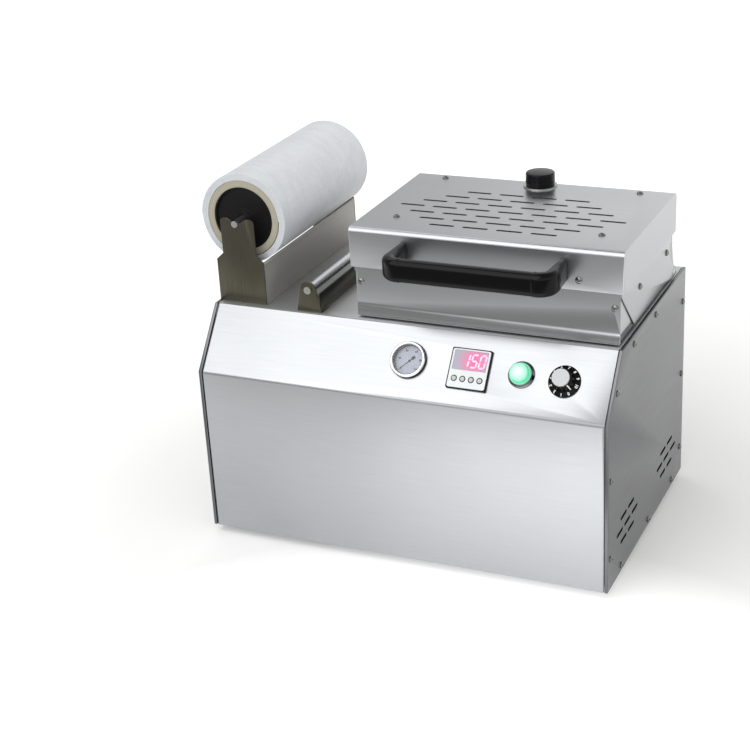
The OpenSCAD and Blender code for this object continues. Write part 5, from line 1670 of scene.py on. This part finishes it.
@dataclass
class Hood:
    """The hinged hood: a slotted cover on a deep frame, arms back to the hinge, and what hangs inside."""

    knob_edge: float = 2.6
    knob_lift: float = 0.5
    knob_stem: float = 2.95
    crown: float = 0.6

    def build(self, driver: Driver) -> None:
        """Builds the cover, the frame, the arms, the vent knob and the hot block inside.

        Args:
            driver: The screws.
        """
        softened("hood_cover", SHEET, edge=0.4, least=40, fold=1.2)
        softened("hood_frame", FRAME_SHEET, edge=0.5, least=8, fold=1.0)
        softened("hood_arms", FRAME_SHEET, edge=0.4, least=8)
        driver.fit("hood_screws", SCREW, seed=11)
        softened("hood_seal", RUBBER, edge=0.4)
        softened("heater_plate", CAST, edge=0.6)
        keep("heating_element", ZINC)
        # The board under the slots is black, which is painted shade in the slots.
        softened("insulation_board", SLOT_SHADE_BOARD, edge=0.8)
        keep("hood_posts", ZINC)
        keep("vent_valve", ZINC)
        self.knob()

    def knob(self) -> None:
        """Turns the vent knob, with a full top edge and a shallow crown."""
        low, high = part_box("vent_knob")
        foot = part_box("vent_valve")[1].z + self.knob_lift * MM
        r, h = (high.x - low.x) / 2 / MM, (high.z - foot) / MM
        crown = [(r * 0.8 * k / 6, h - self.crown * (k / 6) ** 2) for k in range(7)]
        rim = h - self.crown
        skirt = [(r, 3, 0.5), (r - 0.6, 2.2, 0.3), (r - 0.6, 0, 0)]
        edge = eased([(r * 0.8, rim, 0), (r - 0.2, rim - 0.4, self.knob_edge), *skirt], 6)
        end = (low.z - foot) / MM
        stem = [(self.knob_stem, 0), (self.knob_stem, end), (0, end)]
        place = Matrix.Translation(((low.x + high.x) / 2, (low.y + high.y) / 2, foot))
        settle(turned("vent_knob_piece", [*crown, *edge[1:], *stem], place, 72), "vent_knob", GLOSS_BLACK)


@dataclass
class Chamber:
    """The chamber in the deck: its pan, its seal and the pierced tray, and the hinge behind it."""

    def build(self) -> None:
        """Builds the chamber and the hinge."""
        softened("chamber_pan", LINER, edge=0.4)
        softened("chamber_seal", SILICONE, edge=0.6)
        softened("tray_plate", LINER, edge=0.3, least=8)
        softened("hinge_brackets", ZINC, edge=0.5)
        softened("hinge_rod", BRIGHT_BAR, edge=0.6)


@dataclass
class Works:
    """The works in the cabinet: pump, shaft, mounts, hose, power unit, inlet and the dial's potentiometer."""

    def build(self) -> None:
        """Builds the works."""
        softened("pump_body", PAINT, edge=0.8)
        softened("pump_shaft", ZINC, edge=0.4)
        softened("pump_mounts", RUBBER, edge=0.8)
        keep("vacuum_hose", RUBBER)
        softened("power_unit", CAST, edge=0.3)
        softened("power_inlet", MATT_BLACK, edge=0.4)
        keep("dial_potentiometer", BRASS)


@dataclass
class Studio:
    """The pale floor, the soft lamps and the camera."""

    eye: Spot = (713.92, -1683.99, 989.57)
    right: Spot = (0.911815, 0.407076, -0.053689)
    up: Spot = (-0.120889, 0.391113, 0.912369)
    focal: float = 1649.392
    picture: float = 750
    sensor: float = 36
    clip: tuple[float, float] = (0.05, 60)
    lamp_aim: Spot = (0, 0, 0.2)
    floor_half: float = 20

    def build(self) -> None:
        """Builds the floor, the lamps, the world and the camera."""
        self.floor()
        self.lamps()
        self.world()
        self.camera()

    def camera(self) -> None:
        """Stands the camera at the photograph's viewing angle."""
        data = bpy.data.cameras.new("camera")
        data.sensor_width = self.sensor
        data.lens = self.focal / self.picture * self.sensor
        data.clip_start, data.clip_end = self.clip
        made = as_object("camera", data)
        right, up = Vector(self.right).normalized(), Vector(self.up).normalized()
        place = Matrix((right, up, right.cross(up))).transposed().to_4x4()
        place.translation = Vector(self.eye) * MM
        made.matrix_world = place
        bpy.context.scene.camera = made

    def floor(self) -> None:
        """Lays a white floor, which takes the shadow and fills the camera's view, with grey floor past its
        front edge.

        The grey is a painted dark reflection in the hood's front. The glow is painted light: a pool in front
        on the right, and less of it near the machine, over its real shadow.
        """
        mesh = bpy.data.meshes.new("floor")
        half = self.floor_half
        corners = [(-half, -half, 0), (half, -half, 0), (half, half, 0), (-half, half, 0)]
        mesh.from_pydata(corners, [], [(0, 1, 2, 3)])
        floor = as_object("floor", mesh)
        made = bpy.data.materials.new("white_floor_painted_light")
        made.use_nodes = True
        tree = made.node_tree
        place = add(tree, "ShaderNodeTexCoord").outputs["Object"]
        # Painted shade: the floor's glow is weaker near the machine, which darkens its real shadow there, and
        # the cabinet's lower front reflects that. Far off the glow is stronger, where the lamps fall off.
        away = add(tree, "ShaderNodeVectorMath", {0: place}, operation="LENGTH")
        fade = {"Value": away, "From Min": 0.4, "From Max": 1.5, "To Min": 0.16, "To Max": 0.55}
        far = add(tree, "ShaderNodeMapRange", fade)
        # Painted light: a pool of glow on the floor in front on the right, which the right side of the
        # cabinet front reflects brighter.
        pool = add(tree, "ShaderNodeVectorMath", {0: place, 1: (0.2, -0.6, 0)}, operation="DISTANCE")
        lit = add(tree, "ShaderNodeMapRange", {"Value": pool, "From Min": 0.55, "From Max": 0.15})
        glow = add(tree, "ShaderNodeMath", {0: far, 1: lit}, operation="ADD")
        _, y, _ = add(tree, "ShaderNodeSeparateXYZ", {0: place}).outputs
        # Painted reflection: grey floor in front, past y = -0.86 m and out of the camera's view, which the
        # hood's front reflects darker.
        outside_dark_strip = add(tree, "ShaderNodeMapRange", {"Value": y, "From Min": -0.86, "From Max": -0.64})
        tones = {0: outside_dark_strip, 6: linear("#949391"), 7: linear("#e8e8e8")}
        dress = {
            "Roughness": 0.9,
            "Specular IOR Level": 0.0,
            "Base Color": add(tree, "ShaderNodeMix", tones, data_type="RGBA"),
            "Emission Color": linear("#ffffff"),
            "Emission Strength": add(tree, "ShaderNodeMath", {0: outside_dark_strip, 1: glow}, operation="MULTIPLY"),
        }
        feed(tree, tree.nodes["Principled BSDF"], dress)
        mesh.materials.append(made)

    def lamps(self) -> None:
        """Hangs a wide soft box up front on the left, and a smaller one at the back."""
        for name, spot, size, watts in (
            ("soft_box", (-1.05, -2.15, 2.83), 3.8, 88),
            ("top_box", (-1.1, 0.9, 2.2), 1.4, 7),
        ):
            data = bpy.data.lights.new(name, "AREA")
            data.shape = "SQUARE"
            data.size = size
            data.energy = watts
            made = as_object(name, data)
            made.location = spot
            made.rotation_mode = "QUATERNION"
            made.rotation_quaternion = (Vector(self.lamp_aim) - Vector(spot)).to_track_quat("-Z", "Y")

    def world(self) -> None:
        """Lights the room with pale walls, dimmer on the left, under a darker ceiling."""
        made = bpy.data.worlds.new("studio")
        bpy.context.scene.world = made
        made.use_nodes = True
        tree = made.node_tree
        tree.nodes.clear()
        way = add(tree, "ShaderNodeTexCoord").outputs["Generated"]
        x, _, z = add(tree, "ShaderNodeSeparateXYZ", {0: way}).outputs
        rise = add(tree, "ShaderNodeMapRange", {"Value": z, "From Min": 0.35, "From Max": 0.85})
        dim = {"Value": x, "From Min": -0.44, "From Max": -0.22, "To Min": 0.68, "To Max": 1.5}
        left = add(tree, "ShaderNodeMapRange", dim)
        walls = {0: rise, 6: linear("#f3f3f2"), 7: linear("#8e8d8b")}
        sky = add(tree, "ShaderNodeMix", walls, data_type="RGBA")
        room = add(tree, "ShaderNodeBackground", {"Color": sky, "Strength": left})
        add(tree, "ShaderNodeOutputWorld", {"Surface": room})


def main() -> None:
    """Builds the studio, then the machine's sub-assemblies in order."""
    logging.basicConfig(level=logging.INFO, format="%(name)s %(message)s")
    bpy.context.scene.view_settings.view_transform = "Standard"
    driver = Driver()
    bars = bar_growth()
    Studio().build()
    Cabinet().build(driver)
    Gauge().build(bars)
    Controller().build()
    PushButton().build()
    HeatDial().build(bars)
    RollStand().build()
    FilmRoll().build()
    Hood().build(driver)
    Handle().build()
    Chamber().build()
    Works().build()


if __name__ == "__main__":
    main()
